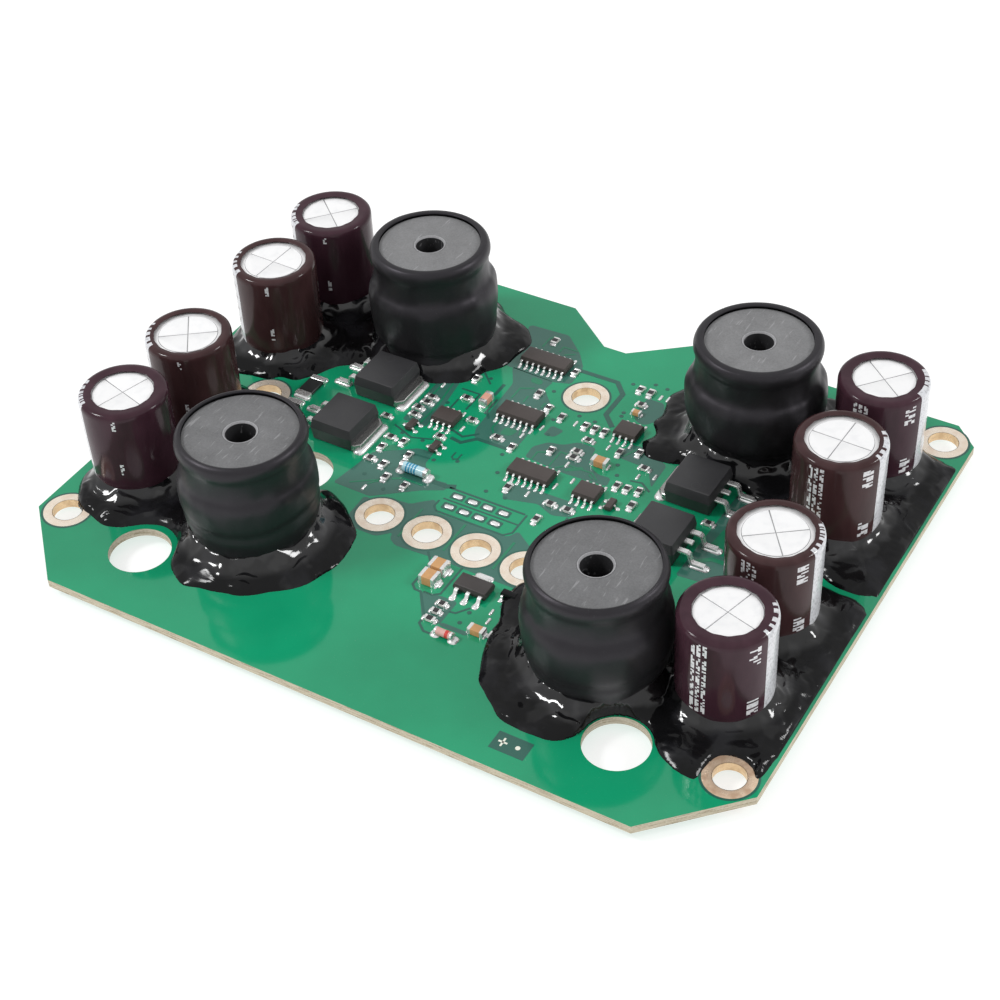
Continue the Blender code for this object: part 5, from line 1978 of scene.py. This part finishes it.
@dataclass
class PottingPools(Assembly):
    """The black compound run around the chokes and capacitors."""

    pools: tuple[Pool, ...]
    step: float = 0.33
    edge: float = 0.95
    climb: float = 3.0
    sunk: float = 0.6
    hole_edge: float = 5.95
    wander: float = 0.54
    edge_run: float = 1.3
    climb_run: float = 1.9
    lumps: float = 0.34
    ripples: float = 0.19
    comb: float = 0.08

    def build(self) -> None:
        """Make each pool as a closed sheet of cells, level between the parts and climbing up them."""
        stems = self._stems()
        for pool in self.pools:
            publish(self._pool(pool, stems), pool.name, (self.palette.potting,), pool.nodes, 180.0)

    @staticmethod
    def _stems() -> list[tuple[float, float, float]]:
        """The (x, y, radius) of each choke and capacitor."""
        stems = []
        for node in frame["nodes"]:
            if node.endswith("_sleeve"):
                x, y, _ = middle_of(node)
                stems.append((x, y, size_of(node).x / 2))
        return stems

    @staticmethod
    def _depth_inside(x: np.ndarray, y: np.ndarray, outline: np.ndarray) -> np.ndarray:
        """How far points lie inside an outline.

        Args:
            x: Their X.
            y: Their Y.
            outline: The outline's points, one in each row.

        Returns:
            The distance to the outline, negative outside it.
        """
        start, end = outline, np.roll(outline, -1, axis=0)
        nearest = np.full(x.shape, 1e9)
        inside = np.zeros(x.shape, bool)
        for (ax, ay), (bx, by) in zip(start, end):
            dx, dy = bx - ax, by - ay
            share = np.clip(((x - ax) * dx + (y - ay) * dy) / max(1e-9, dx * dx + dy * dy), 0.0, 1.0)
            nearest = np.minimum(nearest, np.hypot(x - ax - share * dx, y - ay - share * dy))
            if ay != by:
                inside ^= ((ay > y) != (by > y)) & (x < ax + (y - ay) / (by - ay) * dx)
        return np.where(inside, nearest, -nearest)

    def _height(self, x: np.ndarray, y: np.ndarray, depth: np.ndarray, stems: Sequence[Place]) -> np.ndarray:
        """The height of the compound's skin above the board.

        Args:
            x: The X of each grid point.
            y: Its Y.
            depth: How far it lies inside the pool.
            stems: The (x, y, radius) of each choke and capacitor.

        Returns:
            The height at each grid point.
        """
        level = self.edge * (1.0 - np.exp(-np.maximum(depth, 0.0) / self.edge_run)) * 1.25
        nearest = np.full(x.shape, 1e3)
        for sx, sy, radius in stems:
            nearest = np.minimum(nearest, np.maximum(np.hypot(x - sx, y - sy) - radius + 0.9, 0.0))
        lift = self.climb * np.exp(-nearest / self.climb_run)
        rough, warp = np.zeros(x.shape), np.zeros(x.shape)
        for index in zip(*np.nonzero(depth > -self.step)):
            spot = Vector((x[index], y[index], 3.0))
            warp[index] = noise.noise(spot * 0.30 + Vector((0.0, 0.0, 7.0)))
            rough[index] = noise.noise(spot * 0.16) * 0.9 + noise.noise(spot * 0.42) * 0.22
        fade = np.clip(depth / 0.4, 0.0, 1.0)
        patch = np.clip(3.0 * rough, 0.0, 1.0)
        comb = np.sin(nearest * 4.8 + 9.0 * warp) * patch * self.comb
        share = np.exp(-nearest / 4.0) * np.clip(0.6 + 1.8 * warp, 0.0, 1.0)
        ripple = np.sin(nearest * 2.6 + 6.0 * warp) * share * self.ripples
        height = level + fade * (lift * (1.0 + 0.5 * rough) + rough * self.lumps + ripple + comb)
        return np.where(depth > 0.0, np.maximum(height, 0.05), np.maximum(depth * 1.2, -self.sunk * 0.5))

    def _pool(self, pool: Pool, stems: Sequence[Place]) -> Shape:
        """Make the closed shape of one pool.

        Args:
            pool: The pool.
            stems: The (x, y, radius) of each choke and capacitor.

        Returns:
            Its shape.
        """
        outline = np.array(flowing(pool.outline, 5))
        low, high = outline.min(axis=0) - 2 * self.step, outline.max(axis=0) + 2 * self.step
        across = np.arange(low[0], high[0], self.step)
        down = np.arange(low[1], high[1], self.step)
        x, y = np.meshgrid(across, down, indexing="ij")
        wander = [[noise.noise(Vector((px * 0.25, py * 0.25, 9.0))) for py in down] for px in across]
        depth = self._depth_inside(x, y, outline) + np.array(wander) * self.wander
        depth = np.minimum(depth, np.minimum(x, BOARD_LENGTH - x) - 0.55)
        for hx, hy in Board.plain_holes:
            depth = np.minimum(depth, np.hypot(x - hx, y - hy) - self.hole_edge)
        height = self._height(x, y, depth, stems)
        kept = (depth[:-1, :-1] > -self.step) & (depth[1:, :-1] > -self.step)
        kept &= (depth[:-1, 1:] > -self.step) & (depth[1:, 1:] > -self.step)
        shape = Shape()
        tops, bottoms = {}, {}

        def corner(i: int, j: int) -> tuple[bmesh.types.BMVert, bmesh.types.BMVert]:
            """The upper and lower vertices of a grid point."""
            if (i, j) not in tops:
                tops[i, j] = shape.mesh.verts.new((x[i, j], y[i, j], height[i, j]))
                bottoms[i, j] = shape.mesh.verts.new((x[i, j], y[i, j], -self.sunk))
            return tops[i, j], bottoms[i, j]

        for i, j in zip(*np.nonzero(kept)):
            ring = [corner(*point) for point in ((i, j), (i + 1, j), (i + 1, j + 1), (i, j + 1))]
            shape.mesh.faces.new([top for top, _ in ring])
            shape.mesh.faces.new([bottom for _, bottom in ring][::-1])
            sides = (((i, j - 1), 0, 1), ((i + 1, j), 1, 2), ((i, j + 1), 2, 3), ((i - 1, j), 3, 0))
            for (ni, nj), first, second in sides:
                if not (0 <= ni < kept.shape[0] and 0 <= nj < kept.shape[1] and kept[ni, nj]):
                    wall = (ring[first][0], ring[first][1], ring[second][1], ring[second][0])
                    shape.mesh.faces.new(wall)
        return shape


POOLS = (
    Pool("potting_front_left_skin", ("potting_front_left",), pairs(
        1.5, 58, 1.2, 40, 1.8, 30, 2.3, 24, 4, 20.5, 8.5, 17.2, 13, 16, 17, 16.7, 20.5, 19.5, 24, 20.6, 27.5,
        19.2, 29.6, 15.8, 31, 13.2, 33.5, 11.3, 37, 10.4, 44, 12, 48, 13.5, 52, 17, 55, 20.5, 56.8, 27, 56.8,
        30, 55.5, 35, 52, 38, 48, 41, 44.5, 42.2, 41, 38.5, 36, 38.2, 31, 40.5, 28, 44, 24, 46, 22, 52, 20,
        57, 12, 60, 5, 60)),
    Pool("potting_back_left_skin", ("potting_back_left",), pairs(
        1.5, 66, 1.5, 99, 4, 101, 9, 101, 12, 104, 20, 108, 30, 108, 40, 107.5, 47, 103.5, 52, 101.5, 55, 98,
        54.5, 93, 53.5, 88, 51.6, 85, 50, 81.5, 47, 79, 43.6, 77.6, 38, 77.2, 33, 77.4, 29, 76.4, 25, 73.5,
        21, 67, 17, 66, 14, 64)),
    Pool("potting_front_right_skin", ("potting_front_middle", "potting_front_right"), pairs(
        86.5, 34, 87.5, 31, 88.5, 28, 89, 23, 90.5, 19, 92, 16, 95, 13, 99, 10, 103, 9, 106, 9, 110, 9.6,
        112.2, 12, 112.9, 14.8, 114, 17, 115.9, 18.7, 118.6, 19.4, 121.4, 18.6, 123.6, 16.6, 127, 13.9, 130,
        12.9, 132.6, 13, 133.2, 17.5, 134.5, 19.2, 137, 19.9, 139.6, 19, 141, 17.5, 141.9, 22, 142.3, 26,
        142.3, 54, 141.4, 59, 139.5, 60.3, 136, 60.8, 132, 61.5, 127, 61, 124.5, 56.2, 120, 57, 117.5, 52,
        118, 45, 116, 40, 112, 41, 108, 39, 103, 38.2, 98, 39.5, 94, 41, 90, 40, 87, 37.5)),
    Pool("potting_back_right_skin", ("potting_back_right",), pairs(
        141, 63, 142.3, 66, 142.3, 96, 139.6, 100.8, 135.5, 101.3, 131, 103, 126, 107, 118, 108.5, 108, 108.5,
        98, 107, 91, 103, 87.5, 98, 86.8, 94, 88, 90, 87.5, 87, 89.5, 84, 88.5, 80.5, 91, 77.5, 95, 77.6, 98,
        78.2, 104, 77.2, 110, 77.2, 112.8, 75.6, 116, 72, 118.5, 66, 121, 65, 127.5, 64.8, 133, 62.5, 137, 62)),
)
# The last column, pale, gives the back chokes' cores the lighter ferrite, which is painted light.
CHOKES = (
    ("front_left", 1.1, 10.15, 0.72, 10.9, 8.6, False),
    ("back_left", 4.8, 9.75, 1.0, 12.1, 3.4, True),
    ("front_right", 8.5, 10.35, 0.96, 10.9, 6.2, False),
    ("back_right", 12.2, 9.75, 1.15, 11.4, 4.4, True),
)
CHIPS = (
    ("driver_chip_back", 8),
    ("driver_chip_middle", 7),
    ("driver_chip_front", 7),
    ("sense_chip_front", 4),
    ("sense_chip_back", 4),
    ("sense_chip_left", 4),
)


# Studio
@dataclass
class Studio:
    """A plain pale floor, soft light and the camera."""

    floor: float = 3.0
    world: float = 0.74
    azimuth: float = math.radians(32.60)
    height: float = math.radians(41.40)
    roll: float = math.radians(-3.21)
    distance: float = 0.34906
    lens: float = 70.14
    target: Place = (0.00205, -0.00129, 0.0034)

    def build(self) -> None:
        """Set up the floor, the lights and the camera."""
        self._floor()
        self._world()
        self._lamp("key", (-0.50, -0.32, 0.62), 0.17, 2.8)
        self._lamp("fill", (0.66, 0.34, 0.52), 0.19, 2.0)
        self._camera()
        bpy.context.scene.view_settings.view_transform = "Standard"

    def _floor(self) -> None:
        """Make the floor, just under the lowest lead ends."""
        mesh = bpy.data.meshes.new("floor")
        half = self.floor
        corners = [(x, y, 0.0) for x, y in rectangle(-half, half, -half, half)]
        mesh.from_pydata(corners, [], [(0, 1, 2, 3)])
        graph = Graph("floor_paint")
        mesh.materials.append(graph.feed(Base_Color=(0.42, 0.42, 0.42), Roughness=0.9, Specular_IOR_Level=0.1,
                                         Emission_Color=(1.0, 1.0, 1.0), Emission_Strength=0.68))
        floor = bpy.data.objects.new("floor", mesh)
        bpy.context.scene.collection.objects.link(floor)

    def _world(self) -> None:
        """Set an even white sky."""
        world = bpy.data.worlds.new("sky")
        world.use_nodes = True
        sky = world.node_tree.nodes["Background"]
        sky.inputs["Color"].default_value = (1.0, 1.0, 1.0, 1.0)
        sky.inputs["Strength"].default_value = self.world
        bpy.context.scene.world = world

    @staticmethod
    def _lamp(name: str, place: Place, size: float, power: float) -> None:
        """Add a square softbox that looks at the board.

        Args:
            name: Its name.
            place: Where it hangs, in metres.
            size: Its side, in metres.
            power: Its power in watts.
        """
        lamp = bpy.data.lights.new(name, "AREA")
        lamp.size = size
        lamp.energy = power
        holder = bpy.data.objects.new(name, lamp)
        facing = Vector(place).to_track_quat("Z", "Y").to_matrix()
        holder.matrix_world = Matrix.Translation(place) @ facing.to_4x4()
        bpy.context.scene.collection.objects.link(holder)

    def _camera(self) -> None:
        """Set the camera, turned about its own axis by the roll."""
        flat, up = math.cos(self.height), math.sin(self.height)
        back = Vector((math.sin(self.azimuth) * flat, -math.cos(self.azimuth) * flat, up))
        side = Vector((0.0, 0.0, 1.0)).cross(back).normalized()
        rise = back.cross(side)
        c, s = math.cos(self.roll), math.sin(self.roll)
        axes = Matrix((c * side + s * rise, c * rise - s * side, back)).transposed()
        camera = bpy.data.cameras.new("camera")
        camera.sensor_width = 36.0
        camera.lens = self.lens
        holder = bpy.data.objects.new("camera", camera)
        holder.matrix_world = Matrix.Translation(Vector(self.target) + back * self.distance) @ axes.to_4x4()
        bpy.context.scene.collection.objects.link(holder)
        bpy.context.scene.camera = holder


def main() -> None:
    """Build every assembly in order, then the studio."""
    logging.basicConfig(level=logging.INFO, format="%(name)s %(message)s")
    shared = (Palette(), Repeats())
    Board(*shared).build()
    Copper(*shared).build()
    for place, *sizes in CHOKES:
        Choke(*shared, "choke_" + place, *sizes).build()
    for side, stripe in (("left", math.radians(214)), ("right", math.radians(15))):
        for number in (1, 2, 3, 4):
            outer = number in (1, 4)
            tint, opening = (FilmTint.PURPLE, 5.60) if outer else (FilmTint.BROWN, 6.26)
            seed = number + (10 if side == "right" else 0)
            name = f"capacitor_{side}_{number}"
            Capacitor(*shared, name, tint, opening, stripe, seed, score_turn=0.4 + 0.9 * number).build()
        for row in ("front", "back"):
            turn = math.pi if side == "left" else 0.0
            TabTransistor(*shared, f"transistor_{side}_{row}", turn).build()
    for name, leads in CHIPS:
        Chip(*shared, name, leads).build()
    SmallParts(*shared).build()
    PottingPools(*shared, POOLS).build()
    Studio().build()


if __name__ == "__main__":
    main()
